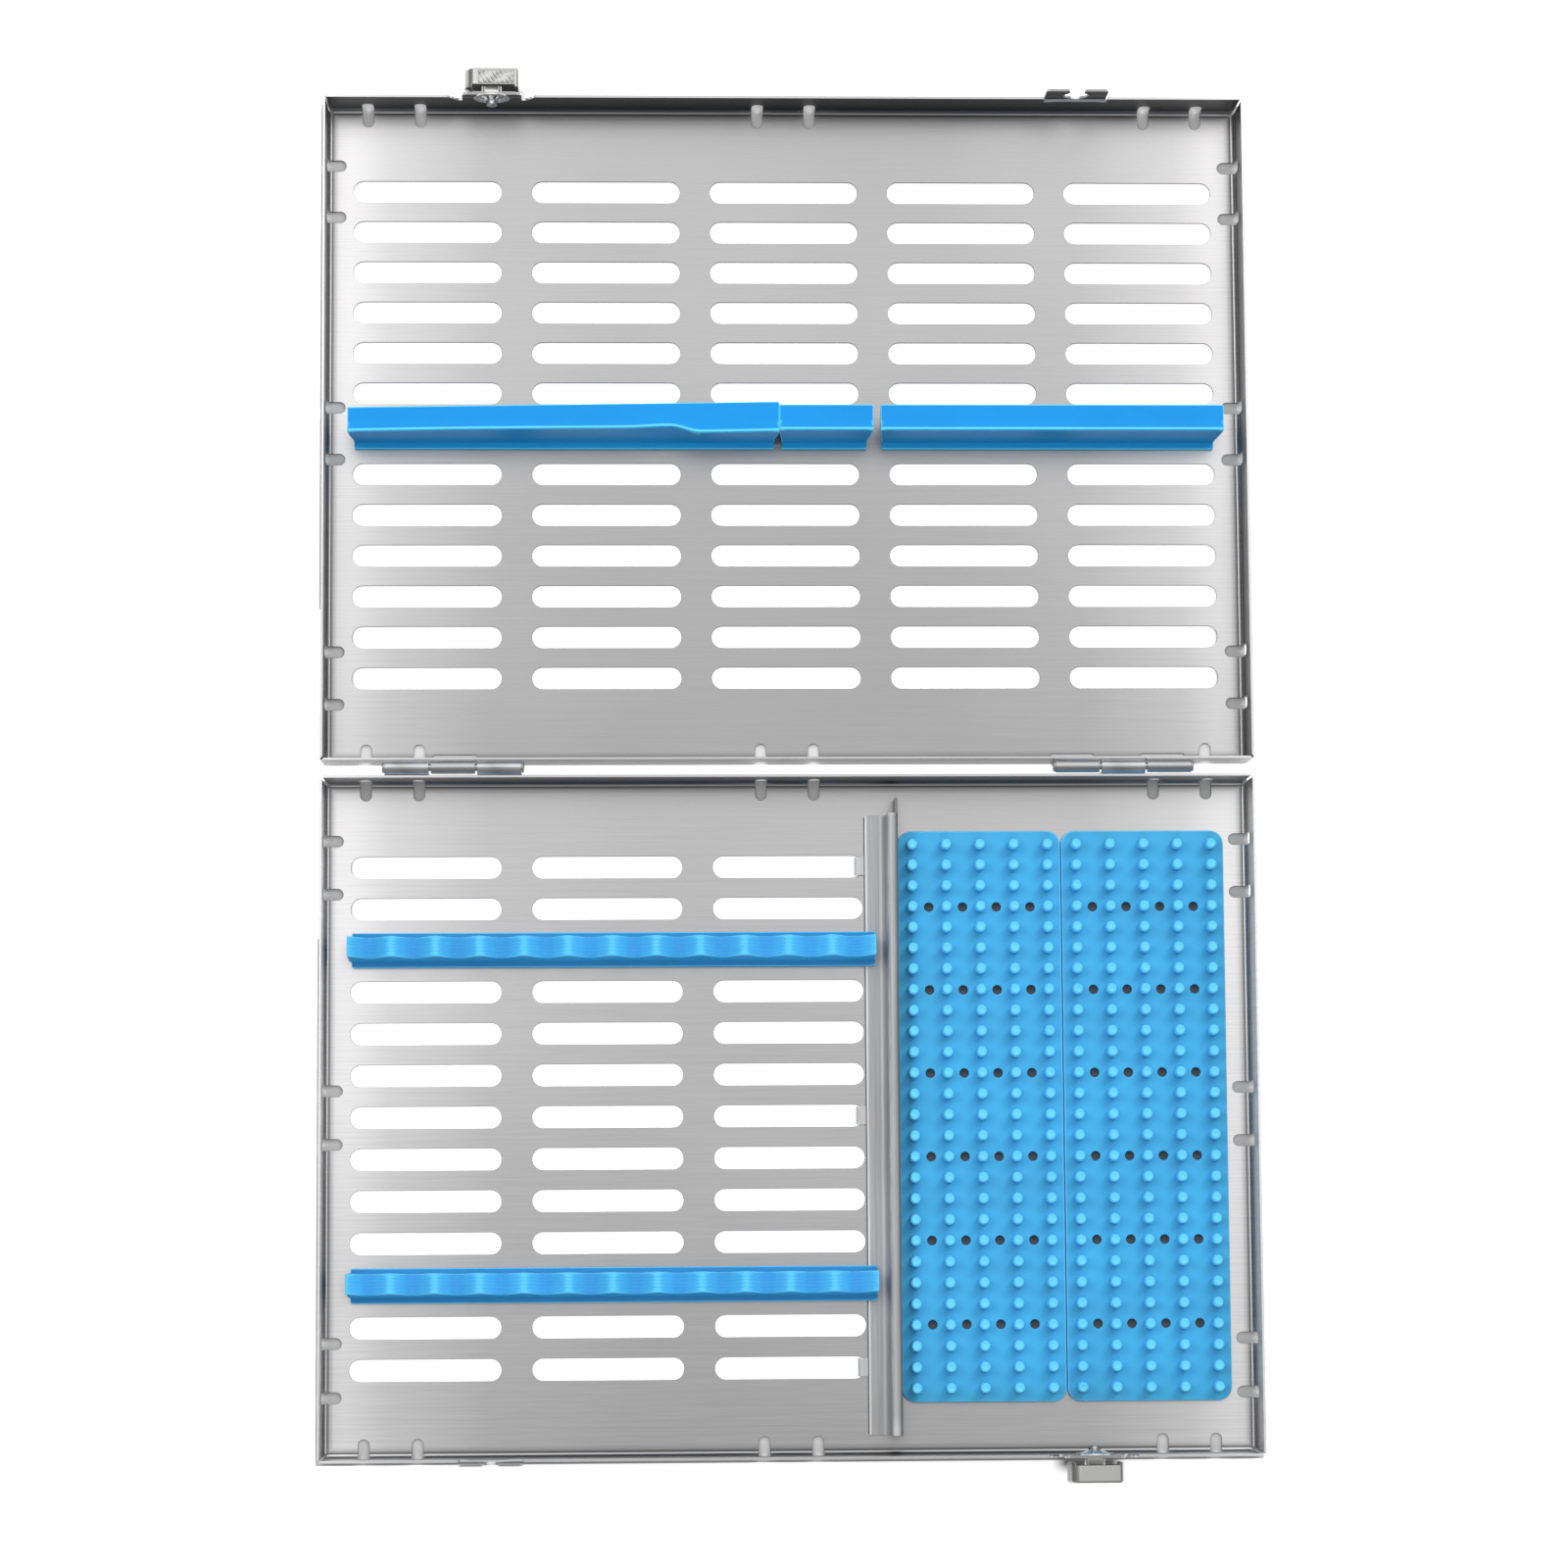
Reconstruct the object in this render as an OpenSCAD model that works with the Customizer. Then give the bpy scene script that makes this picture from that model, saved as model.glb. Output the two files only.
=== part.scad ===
// Instrument cassette for cleaning and sterilising: two perforated sheet trays, hinged along
// one long side and closed by a turn knob and a keyhole catch on each half. The lid is the
// base turned half a turn, so each knob meets the other half's catch.
// Both halves lie open, side by side. The origin is on the table under the middle of the hinge
// line: +X runs along the hinge, +Y towards the lid, +Z up. Lengths are in millimetres.

/* [Trays] */
// Width of each half, along the hinge
tray_w = 280; // [278:1:300]
// Depth of each half, from the hinge wall to the latch wall
tray_d = 203; // [196:1:220]
// Height of the rim line above the table, half of the closed height
rim_h = 16; // [15:0.5:20]
// Thickness of the steel sheet
sheet = 0.8; // [0.6:0.1:0.9]
// Inside radius of the bends
bend_r = 1.2; // [0.8:0.1:1.6]
// Gap between the two rims when the cassette is closed
rim_gap = 0.3; // [0.2:0.1:0.6]
// Width of the open seam in each corner
corner_seam = 0.6; // [0.3:0.1:1]

/* [Floor slots] */
// Columns of slots, an odd number
slot_cols = 5; // [3:2:5]
// Rows of slots, an odd number so that one row lies on the middle line
slot_rows = 13; // [11:2:13]
// Distance between columns
slot_pitch_x = 54.4; // [52:0.1:55]
// Distance between rows
slot_pitch_y = 12.5; // [12:0.1:12.8]
// Length of a slot, end to end
slot_len = 45.2; // [40:0.1:47]
// Width of a slot
slot_w = 6.6; // [6.2:0.1:7.4]

/* [Drain slots] */
// Width of a drain slot
drain_w = 3.4; // [2:0.1:5]
// Distance between the two drain slots of a pair
drain_pair = 16; // [10:1:24]
// Reach of a drain slot into the floor, from the outside of the wall
drain_in = 6.3; // [4:0.1:9]
// Height of a drain slot's top in the wall
drain_top = 7.5; // [4:0.5:9]
// Distance of the outer pairs from the tray's ends
drain_end = 21; // [15:1:24]

/* [Latches] */
// Distance of the knob and of the catch from the tray's ends
latch_end = 51.1; // [46:0.1:65]
// Width of the tongue that carries the knob
tongue_w = 18; // [14:0.5:20]
// Height of the tongue above the rim line
tongue_rise = 3; // [2.5:0.1:3]
// Depth of the dip in the rim beside the tongue
dip_depth = 4; // [3:0.1:5]
// Width of the dip at the rim
dip_w = 25.5; // [24:0.5:30]
// Radius of the knob's shaft
shaft_r = 1.8; // [1.5:0.05:1.95]
// Running clearance round the shaft
shaft_gap = 0.08; // [0.02:0.01:0.1]
// Long size of the knob's neck, which locks behind the catch
neck_len = 6; // [5.2:0.1:6.2]
// Short size of the neck, which slips through the catch's mouth
neck_w = 4; // [3.6:0.1:4]
// Width of the catch's mouth
mouth_w = 4.4; // [4.3:0.1:4.8]
// Width of the catch's round seat
seat_w = 7.4; // [7:0.1:8]
// Height of the catch's round seat
seat_h = 6.6; // [6.5:0.1:6.8]
// Width of the catch over both ears
catch_w = 18.9; // [18:0.1:20]
// Height of the ears above the rim line
catch_rise = 5.3; // [4.5:0.1:6]
// Gap between the ears and the other half's wall
catch_gap = 0.2; // [0.1:0.05:0.4]
// Length of the knob's bar
bar_len = 16.3; // [14:0.1:18]
// Height of the knob's bar
bar_h = 8.6; // [7:0.1:10]
// Thickness of the knob's bar
bar_t = 5.4; // [4:0.1:7]
// Radius of the two corners at the bar's round end
bar_big_r = 4; // [2:0.1:4]
// Radius of the bar's other corners
bar_small_r = 1.2; // [0.5:0.1:2]
// Gap between the wall and the knob's bar, bridged by the neck
bar_gap = 2.1; // [1.8:0.1:2.6]
// Outside radius of the star washer
washer_r = 5.5; // [4.6:0.1:6]
// Thickness of the star washer
washer_t = 0.4; // [0.3:0.05:0.5]
// Height of the washer's dome
washer_dome = 1; // [0.6:0.1:1.4]
// Number of slits in the washer
washer_slits = 8; // [6:1:10]

/* [Hinges] */
// Distance of each hinge's middle knuckle from the tray's ends
hinge_end = 39.7; // [36:0.1:50]
// Length of a knuckle
knuckle_len = 13.2; // [10:0.1:13.4]
// Distance between the middles of two knuckles
knuckle_pitch = 13.8; // [13.6:0.1:14.2]
// Radius of the hinge pin
pin_r = 1.1; // [0.8:0.05:1.15]
// Running clearance round the hinge pin
pin_gap = 0.05; // [0.02:0.01:0.1]
// Gap between a knuckle and the other half's wall
knuckle_gap = 0.3; // [0.3:0.05:0.6]
// Height of the pin's heads
pin_head_t = 0.8; // [0.5:0.1:1.5]
// Height of a base leaf on the wall
leaf_h = 10; // [6:0.5:12]
// Size of a lid window, from the outside of the wall inwards
window_in = 3.2; // [2.8:0.1:4]
// Length of a lid window
window_len = 13; // [11:0.1:13.2]

/* [Divider] */
// Left edge of the divider's flange, from the middle
divider_x = 23; // [22.9:0.1:24]
// Width of the divider's flange
flange_w = 6.6; // [5:0.1:8]
// Outside width of the folded upright
fold_w = 3.2; // [3:0.1:4]
// Height of the divider above the table
divider_h = 11.4; // [9:0.1:11.6]
// Length of the divider
divider_len = 190; // [180:1:192]
// Length by which the flange and the fold stop short of the outer leg at the rear end
flange_short = 4.7; // [2:0.1:8]
// Width of a hook
hook_w = 5.4; // [4:0.1:5.6]
// Reach of a hook, from the flange's edge
hook_reach = 3; // [2.4:0.1:3.2]

/* [Instrument strips] */
// Height of the base strips' crests above the table
strip_top = 12; // [11:0.1:13]
// Width of the base strips' foot
strip_foot_w = 10.4; // [9.6:0.1:12]
// Width of the base strips' body
strip_body_w = 6.2; // [5:0.1:7]
// Thickness of the foot
strip_foot_t = 2.2; // [1.8:0.1:3]
// Depth of the valleys that hold the instruments
valley_depth = 3.7; // [3:0.1:4.2]
// Distance between valleys
valley_pitch = 13.17; // [12.5:0.01:14]
// Width of a valley at its top
valley_w = 11; // [9:0.1:12]
// Distance of the strips' ends from the tray's sides
strip_end = 8; // [6:0.5:12]
// Right end of the base strips, from the middle
strip_right = 26; // [24:0.5:27]
// Rows between a base strip and the middle line
strip_rows = 4; // [3:1:5]
// Height of the lid strips above the table
lid_strip_top = 19.8; // [18:0.1:20]
// Width of the lid strips' foot
lid_foot_w = 10; // [9.6:0.1:12]
// Front edge of the lid strips' top, from their row
lid_top_front = -2.3; // [-3:0.1:-2]
// Rear edge of the lid strips' top, from their row
lid_top_rear = 5.6; // [4:0.1:6]
// Right end of the left lid strip, from the middle
lid_cut_a = -2.3; // [-10:0.1:5]
// Right end of the middle lid strip, from the middle
lid_cut_b = 26; // [20:0.1:27]
// Left end of the right lid strip, from the middle
lid_cut_c = 28.2; // [28:0.1:34]
// Amount by which a lid strip's foot is shorter at each end
lid_undercut = 1.2; // [0.5:0.1:2]
// Width of a rail's flange
rail_w = 8.6; // [7.8:0.1:9]
// Height of a rail's blade above the table
rail_h = 6.5; // [5:0.1:7]
// Size of the rail lugs that sit in the floor slots
lug = 6; // [5:0.1:6.1]

/* [Pin mats] */
// Width of a mat
mat_w = 49.2; // [47:0.1:50]
// Length of a mat
mat_len = 171; // [169:0.5:180]
// Thickness of a mat
mat_t = 2; // [1.5:0.1:2.5]
// Corner radius of a mat
mat_r = 4; // [2:0.1:6]
// Gap between the mats and their neighbours
mat_gap = 0.3; // [0.2:0.1:0.6]
// Least distance of the outer pins from a mat's edges
pin_edge = 4; // [3:0.1:5]
// Distance between pin columns
pin_pitch_x = 10.2; // [8:0.1:10.5]
// Distance between pin rows
pin_pitch_y = 6.25; // [5.5:0.05:6.4]
// Height of the pins above the mat
pin_h = 5; // [3:0.1:5.4]
// Radius of a pin at its foot
pin_foot_r = 1.6; // [1.2:0.05:1.6]
// Radius of a pin at its tip
pin_tip_r = 1.15; // [0.8:0.05:1.2]
// Radius of the mat's drain holes
mat_hole_r = 1.45; // [1:0.05:1.5]

/* [Hidden] */
$fn = 48;

steel = [0.75, 0.74, 0.74];
knob_steel = [0.80, 0.80, 0.79];
strip_blue = [0.15, 0.62, 0.92];
mat_blue = [0.27, 0.68, 0.90];

// Overlap of cutting tools past the surface that they cut
cut = 1;
bend_out = bend_r + sheet;
latch_x = tray_w / 2 - latch_end;
hinge_x = tray_w / 2 - hinge_end;
// Height of the lugs', hooks' and hinge feet's lower sides above the table
table_gap = 0.1;
// Play between a strip and the divider's flange below it
flange_play = 0.2;
// Height of the hinge windows' upper edges above the table
window_top = 1.6;
// Play of a hinge foot in its window, at each end
foot_play = 0.3;
// End play of the knuckles between the pin's heads
knuckle_play = 0.2;
// Width of the pin heads' rim beyond the pin
head_rim = 0.6;
// Gap between the tongue and what turns beside it
face_gap = 0.1;
// Gap between the divider's outer leg and the floor
leg_gap = 0.4;
pin_cols = floor((mat_w - 2 * pin_edge) / pin_pitch_x) + 1;
pin_rows = floor((mat_len - 2 * pin_edge) / pin_pitch_y) + 1;
rim_top = rim_h - rim_gap / 2;
tongue_top = rim_h + tongue_rise;
catch_top = rim_h + catch_rise;
// The ears step outwards just above the other half's closed tongue
step_z = rim_h - tongue_rise - rim_gap / 2 - sheet;
// Distance from the hinge walls to the hinge line
knuckle_r = pin_r + pin_gap + sheet;
hinge_y = knuckle_r + knuckle_gap;
tray_y = hinge_y + tray_d / 2;
middle_row = (slot_rows - 1) / 2;
middle_col = (slot_cols - 1) / 2;
// Slot columns that hold a rail's lugs, counted from the middle one
left_cols = [-middle_col : 0];
right_cols = [1 : middle_col];
strip_y = strip_rows * slot_pitch_y;
hook_row = middle_row * slot_pitch_y;
// Left knuckles of the two hinges, from left to right: the base holds 1, 3 and 5
knuckle_xs = [
    for (side = [-1, 1]) for (k = [-1, 0, 1]) side * hinge_x + k * knuckle_pitch
];
base_knuckles = [knuckle_xs[0], knuckle_xs[2], knuckle_xs[4]];
lid_knuckles = [knuckle_xs[1], knuckle_xs[3], knuckle_xs[5]];
long_drains = [
    for (c = [-1, 0, 1]) for (s = [-1, 1]) c * (tray_w / 2 - drain_end) + s * drain_pair / 2
];
side_drains = [
    for (c = [-1, 0, 1]) for (s = [-1, 1]) c * hook_row + s * drain_pair / 2
];
valley_r = (valley_w * valley_w / 4 + valley_depth * valley_depth) / (2 * valley_depth);
strip_left = -tray_w / 2 + strip_end;
lid_right = tray_w / 2 - strip_end;
rail_play = 2;
upright_x = divider_x + flange_w;
mats_x = upright_x + fold_w + mat_gap;

// Puts a child that is drawn about the base tray's centre in its place
module in_base() { translate([0, -tray_y, 0]) children(); }

// The lid is drawn as a second base and turned half a turn about the vertical
module in_lid() { translate([0, tray_y, 0]) rotate([0, 0, 180]) children(); }

// A straight slot with round ends along X, centred
module slot_2d(len, w) {
    square([len - w, w], center = true);
    for (s = [-1, 1]) translate([s * (len - w) / 2, 0]) circle(d = w);
}

// Sheet section of a wall: distance from the outside face across, height up
module wall_section() {
    intersection() {
        square([bend_out, bend_out]);
        translate([bend_out, bend_out]) difference() {
            circle(bend_out);
            circle(bend_r);
        }
    }
    translate([0, bend_out]) square([sheet, rim_top - bend_out]);
}

// One wall along X with its outside face at y = 0 and mitred ends
module wall(len) {
    back = corner_seam / sqrt(2);
    half = len / 2 - back;
    intersection() {
        rotate([90, 0, 90]) linear_extrude(len, center = true) wall_section();
        linear_extrude(rim_h)
            polygon([[-half, 0], [half, 0], [half - bend_out, bend_out], [bend_out - half, bend_out]]);
    }
}

// Drain slot across a bend, running up the wall at y = 0
module drain_slot() {
    translate([0, 0, -cut]) linear_extrude(drain_top + cut) {
        translate([-drain_w / 2, -cut]) square([drain_w, drain_in - drain_w / 2 + cut]);
        translate([0, drain_in - drain_w / 2]) circle(d = drain_w);
    }
}

// Places a child on each wall's outside face: wall 0 front, 1 right, 2 rear, 3 left
module on_wall(n) {
    reach = n % 2 == 0 ? tray_d / 2 : tray_w / 2;
    rotate([0, 0, 90 * n]) translate([0, -reach, 0]) children();
}

// Dip in the rim that frees the latch tongue
module dip_cut() {
    slope = (dip_w - tongue_w) / 2;
    translate([0, sheet + cut, 0]) rotate([90, 0, 0]) linear_extrude(sheet + 2 * cut) polygon([
        [-tongue_w / 2, rim_h - dip_depth], [tongue_w / 2, rim_h - dip_depth],
        [tongue_w / 2 + slope, rim_h], [tongue_w / 2 + slope, rim_h + cut],
        [-tongue_w / 2 - slope, rim_h + cut], [-tongue_w / 2 - slope, rim_h]
    ]);
}

// Tongue in the plane of the wall, with the hole for the knob's shaft
module latch_tongue() {
    corner = 1.5;
    difference() {
        union() {
            translate([-tongue_w / 2, 0, rim_h - dip_depth])
                cube([tongue_w, sheet, dip_depth + tongue_rise - corner]);
            translate([-tongue_w / 2 + corner, 0, rim_h - dip_depth])
                cube([tongue_w - 2 * corner, sheet, dip_depth + tongue_rise]);
            for (s = [-1, 1]) translate([s * (tongue_w / 2 - corner), sheet, tongue_top - corner])
                rotate([90, 0, 0]) cylinder(r = corner, h = sheet);
        }
        translate([0, sheet + cut, rim_h]) rotate([90, 0, 0])
            cylinder(r = shaft_r + shaft_gap, h = sheet + 2 * cut);
    }
}

// Catch: the wall steps outwards and ends in two ears round a keyhole
module catch_plate() {
    corner = 2;
    ear_h = catch_top - step_z;
    translate([-catch_w / 2, -catch_gap - sheet, step_z])
        cube([catch_w, catch_gap + 2 * sheet, sheet]);
    translate([0, -catch_gap, 0]) rotate([90, 0, 0]) linear_extrude(sheet) difference() {
        union() {
            translate([-catch_w / 2, step_z]) square([catch_w, ear_h - corner]);
            translate([-catch_w / 2 + corner, step_z]) square([catch_w - 2 * corner, ear_h]);
            for (s = [-1, 1]) translate([s * (catch_w / 2 - corner), catch_top - corner])
                circle(corner);
        }
        translate([0, rim_h]) slot_2d(seat_w, seat_h);
        translate([-mouth_w / 2, rim_h]) square([mouth_w, catch_rise + cut]);
    }
}

// One half's tray about its own centre, with the latch wall in front and the hinge wall behind.
// windows: positions of the hinge windows along the hinge wall
module tray(windows) {
    color(steel) difference() {
        union() {
            translate([0, 0, sheet / 2])
                cube([tray_w - 2 * bend_out, tray_d - 2 * bend_out, sheet], center = true);
            difference() {
                on_wall(0) wall(tray_w);
                translate([latch_x, -tray_d / 2, 0]) dip_cut();
                translate([-latch_x - catch_w / 2, -tray_d / 2 - cut, step_z])
                    cube([catch_w, sheet + 2 * cut, rim_h]);
            }
            translate([latch_x, -tray_d / 2, 0]) latch_tongue();
            translate([-latch_x, -tray_d / 2, 0]) catch_plate();
            on_wall(1) wall(tray_d);
            on_wall(2) wall(tray_w);
            on_wall(3) wall(tray_d);
        }
        translate([0, 0, -cut]) linear_extrude(sheet + 2 * cut)
            for (c = [0 : slot_cols - 1]) for (r = [0 : slot_rows - 1])
                translate([(c - middle_col) * slot_pitch_x, (r - middle_row) * slot_pitch_y])
                    slot_2d(slot_len, slot_w);
        for (x = long_drains) on_wall(0) translate([x, 0, 0]) drain_slot();
        // A drain slot that would meet a hinge window is left out
        for (x = long_drains)
            if (len([for (w = windows) if (abs(w + x) < (window_len + drain_w) / 2) w]) == 0)
                on_wall(2) translate([x, 0, 0]) drain_slot();
        for (y = side_drains) for (n = [1, 3]) on_wall(n) translate([y, 0, 0]) drain_slot();
        for (w = windows) translate([w - window_len / 2, tray_d / 2 - window_in, -cut])
            cube([window_len, window_in + cut, window_top + cut]);
    }
}

// Hinge leaf on the outside of the hinge wall, about the tray's centre, with its knuckle.
// low: height of the leaf's lower edge
module hinge_leaf(x, low) {
    color(steel) translate([x, tray_d / 2, 0]) difference() {
        union() {
            translate([-knuckle_len / 2, 0, low]) cube([knuckle_len, sheet, rim_top - low]);
            translate([0, hinge_y, rim_h]) rotate([0, 90, 0])
                cylinder(r = knuckle_r, h = knuckle_len, center = true);
        }
        translate([0, hinge_y, rim_h]) rotate([0, 90, 0])
            cylinder(r = pin_r + pin_gap, h = knuckle_len + 2 * cut, center = true);
    }
}

// Lid leaf: it runs down to the table side and turns inwards through its window
module lid_leaf(x) {
    foot_w = window_len - 2 * foot_play;
    foot_in = window_in - 1;
    hinge_leaf(x, table_gap);
    color(steel) translate([x - foot_w / 2, tray_d / 2 - foot_in, table_gap])
        cube([foot_w, foot_in, sheet]);
}

// Hinge pin with two low heads outside its three knuckles
module hinge_pin(x) {
    span = 2 * knuckle_pitch + knuckle_len + knuckle_play;
    color(knob_steel) translate([x, 0, rim_h]) rotate([0, 90, 0]) {
        cylinder(r = pin_r, h = span, center = true);
        for (s = [-1, 1]) translate([0, 0, s * (span + pin_head_t) / 2])
            cylinder(r = pin_r + head_rim, h = pin_head_t, center = true);
    }
}

// Outline of the bar: its end at -x is round, the other end nearly square
module bar_2d() {
    hx = bar_len / 2;
    hz = bar_h / 2;
    difference() {
        square([bar_len, bar_h], center = true);
        translate([-hx, -hz]) corner_cut(bar_big_r);
        translate([-hx, hz]) rotate(-90) corner_cut(bar_big_r);
        translate([hx, -hz]) rotate(90) corner_cut(bar_small_r);
        translate([hx, hz]) rotate(180) corner_cut(bar_small_r);
    }
}

// What a radius takes away from a square corner at the origin that opens into +X +Y
module corner_cut(r) {
    difference() {
        translate([-cut, -cut]) square(r + cut);
        translate([r, r]) circle(r);
    }
}

// Turn knob about the shaft's axis: x along the bar, y outwards from the wall's outside face
module latch_knob() {
    // Length of the shaft beyond the washer
    tail = 1.4;
    shaft_in = sheet + washer_t + washer_dome + tail;
    color(knob_steel) {
        intersection() {
            translate([0, bar_gap + bar_t, 0]) rotate([90, 0, 0]) linear_extrude(bar_t) bar_2d();
            translate([0, bar_gap, -bar_h / 2]) linear_extrude(bar_h) difference() {
                translate([-bar_len / 2, 0]) square([bar_len, bar_t]);
                for (s = [-1, 1]) translate([s * bar_len / 2, bar_t])
                    rotate(s > 0 ? 180 : 270) corner_cut(bar_small_r);
            }
        }
        translate([0, bar_gap, 0]) rotate([90, 0, 0]) linear_extrude(bar_gap - face_gap)
            slot_2d(neck_len, neck_w);
        translate([0, bar_gap, 0]) rotate([90, 0, 0])
            cylinder(r = shaft_r, h = bar_gap + shaft_in);
    }
}

// Star washer pushed on the shaft inside the wall: a low dome with slits from its hole
module star_washer() {
    seat = sheet + face_gap;
    grip = 0.02;
    slit_w = 0.6;
    slit_end = washer_r - 1.3;
    dome_end = washer_r - 1;
    color(steel) translate([0, -seat, 0]) rotate([90, 0, 0]) difference() {
        rotate_extrude() polygon([
            [shaft_r - grip, washer_dome], [dome_end, 0], [washer_r, 0],
            [washer_r, washer_t], [dome_end, washer_t], [shaft_r - grip, washer_dome + washer_t]
        ]);
        for (k = [0 : washer_slits - 1]) rotate([0, 0, k * 360 / washer_slits])
            translate([0, -slit_w / 2, -cut]) cube([slit_end, slit_w, 2 * cut + washer_dome]);
    }
}

// Places a knob or a washer at a half's latch, with y pointing out of the latch wall
module at_latch() {
    translate([latch_x, -tray_d / 2, rim_h]) rotate([0, 0, 180]) children();
}

// Sheet rail: a flange on the floor, an upright blade, and lugs in the floor slots.
// from, to: its ends along X; cols: slot columns that hold a lug
module rail(from, to, cols) {
    color(steel) {
        translate([from, -rail_w / 2, sheet]) cube([to - from, rail_w, sheet]);
        translate([from, -sheet / 2, sheet]) cube([to - from, sheet, rail_h - sheet]);
        for (c = cols) translate([c * slot_pitch_x - lug / 2, -lug / 2, table_gap])
            cube([lug, lug, sheet - table_gap]);
    }
}

// Section of the rail, which each strip is pushed over
module rail_section() {
    translate([-rail_w / 2, sheet]) square([rail_w, sheet]);
    translate([-sheet / 2, sheet]) square([sheet, rail_h - sheet]);
}

// Base strip with valleys between its crests; it bridges the divider's flange
module base_strip() {
    len = strip_right - strip_left;
    count = floor((len - valley_w) / valley_pitch) + 1;
    first = strip_left + (len - (count - 1) * valley_pitch) / 2;
    color(strip_blue) difference() {
        translate([strip_left, 0, 0]) rotate([90, 0, 90]) linear_extrude(len) difference() {
            union() {
                translate([-strip_foot_w / 2, sheet]) square([strip_foot_w, strip_foot_t]);
                translate([-strip_body_w / 2, sheet]) square([strip_body_w, strip_top - sheet]);
            }
            rail_section();
        }
        for (k = [0 : count - 1])
            translate([first + k * valley_pitch, 0, strip_top - valley_depth + valley_r])
                rotate([90, 0, 0]) cylinder(r = valley_r, h = strip_foot_w, center = true);
        translate([divider_x - flange_play, -strip_foot_w, 0]) cube([tray_w, 2 * strip_foot_w, 2 * sheet]);
    }
}

// Lid strip between two ends: a leaning slab on a flat foot that is shorter than the slab.
// Its top has a raised lip in front and a wing that reaches to the rear
module lid_strip(from, to) {
    neck_z = sheet + strip_foot_t;
    lip = 0.4;
    wing_z = lid_strip_top - lip;
    wing_t = 1;
    stem_front = -3.2;
    stem_rear = 3;
    color(strip_blue) difference() {
        translate([from, 0, 0]) rotate([90, 0, 90]) linear_extrude(to - from) difference() {
            polygon([
                [-lid_foot_w / 2, sheet], [lid_foot_w / 2, sheet], [lid_foot_w / 2, neck_z],
                [stem_rear, neck_z], [stem_rear, wing_z - 4 * wing_t],
                [lid_top_rear, wing_z - wing_t], [lid_top_rear, wing_z], [0, wing_z],
                [lid_top_front + lip, lid_strip_top], [lid_top_front, wing_z],
                [stem_front, neck_z], [-lid_foot_w / 2, neck_z - lip]
            ]);
            rail_section();
        }
        for (end = [[from, 1], [to, -1]]) translate([end[0], lid_foot_w, 0])
            rotate([90, 0, 0]) linear_extrude(2 * lid_foot_w) polygon([
                [-end[1], 0], [end[1] * lid_undercut, 0], [end[1] * lid_undercut, neck_z],
                [0, wing_z - wing_t], [-end[1], wing_z - wing_t]
            ]);
    }
}

// Folded sheet: a flange on the floor, then up, over a round fold and down again. The outer
// leg runs on to the rear; three hooks reach from the flange into the floor slots
module divider() {
    fold_r = fold_w / 2;
    front = -divider_len / 2;
    short_len = divider_len - flange_short;
    knee_z = 2 * sheet + bend_r;
    color(steel) translate([0, front, 0]) {
        along_y(short_len) {
            translate([divider_x, sheet]) square([flange_w - bend_r, sheet]);
            translate([upright_x - bend_r, knee_z]) intersection() {
                difference() {
                    circle(bend_out);
                    circle(bend_r);
                }
                translate([0, -bend_out]) square(bend_out);
            }
            translate([upright_x, knee_z]) square([sheet, divider_h - fold_r - knee_z]);
            translate([upright_x + fold_r, divider_h - fold_r]) difference() {
                circle(fold_r);
                circle(fold_r - sheet);
                translate([-fold_w, -fold_w]) square([2 * fold_w, fold_w]);
            }
        }
        along_y(divider_len) translate([upright_x + fold_w - sheet, sheet + leg_gap])
            square([sheet, divider_h - fold_r - sheet - leg_gap]);
        for (y = [-hook_row, 0, hook_row]) translate([divider_x - hook_reach, y - front - hook_w / 2, 0]) {
            translate([0, 0, sheet]) cube([hook_reach, hook_w, sheet]);
            translate([0, 0, table_gap]) cube([sheet, hook_w, 2 * sheet - table_gap]);
        }
    }
}

// Extrudes a section, drawn in x and z, from y = 0 to the given length
module along_y(len) {
    rotate([90, 0, 180]) linear_extrude(len) mirror([1, 0]) children();
}

// Mat with its lower left corner at the given x, centred in y, with pins and drain holes
module mat(x) {
    cx = x + mat_w / 2;
    color(mat_blue) difference() {
        union() {
            translate([cx, 0, sheet]) linear_extrude(mat_t) {
                square([mat_w - 2 * mat_r, mat_len], center = true);
                square([mat_w, mat_len - 2 * mat_r], center = true);
                for (a = [-1, 1]) for (b = [-1, 1])
                    translate([a * (mat_w / 2 - mat_r), b * (mat_len / 2 - mat_r)]) circle(mat_r);
            }
            for (c = [0 : pin_cols - 1]) for (r = [0 : pin_rows - 1])
                translate([cx + (c - (pin_cols - 1) / 2) * pin_pitch_x,
                    (r - (pin_rows - 1) / 2) * pin_pitch_y, sheet + mat_t])
                    cylinder(r1 = pin_foot_r, r2 = pin_tip_r, h = pin_h, $fn = 24);
        }
        for (c = [0 : pin_cols - 2]) for (r = [3 : 4 : pin_rows - 4])
            translate([cx + (c - (pin_cols - 2) / 2) * pin_pitch_x,
                (r - (pin_rows - 1) / 2) * pin_pitch_y, 0])
                cylinder(r = mat_hole_r, h = sheet + mat_t + cut, $fn = 24);
    }
}

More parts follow.
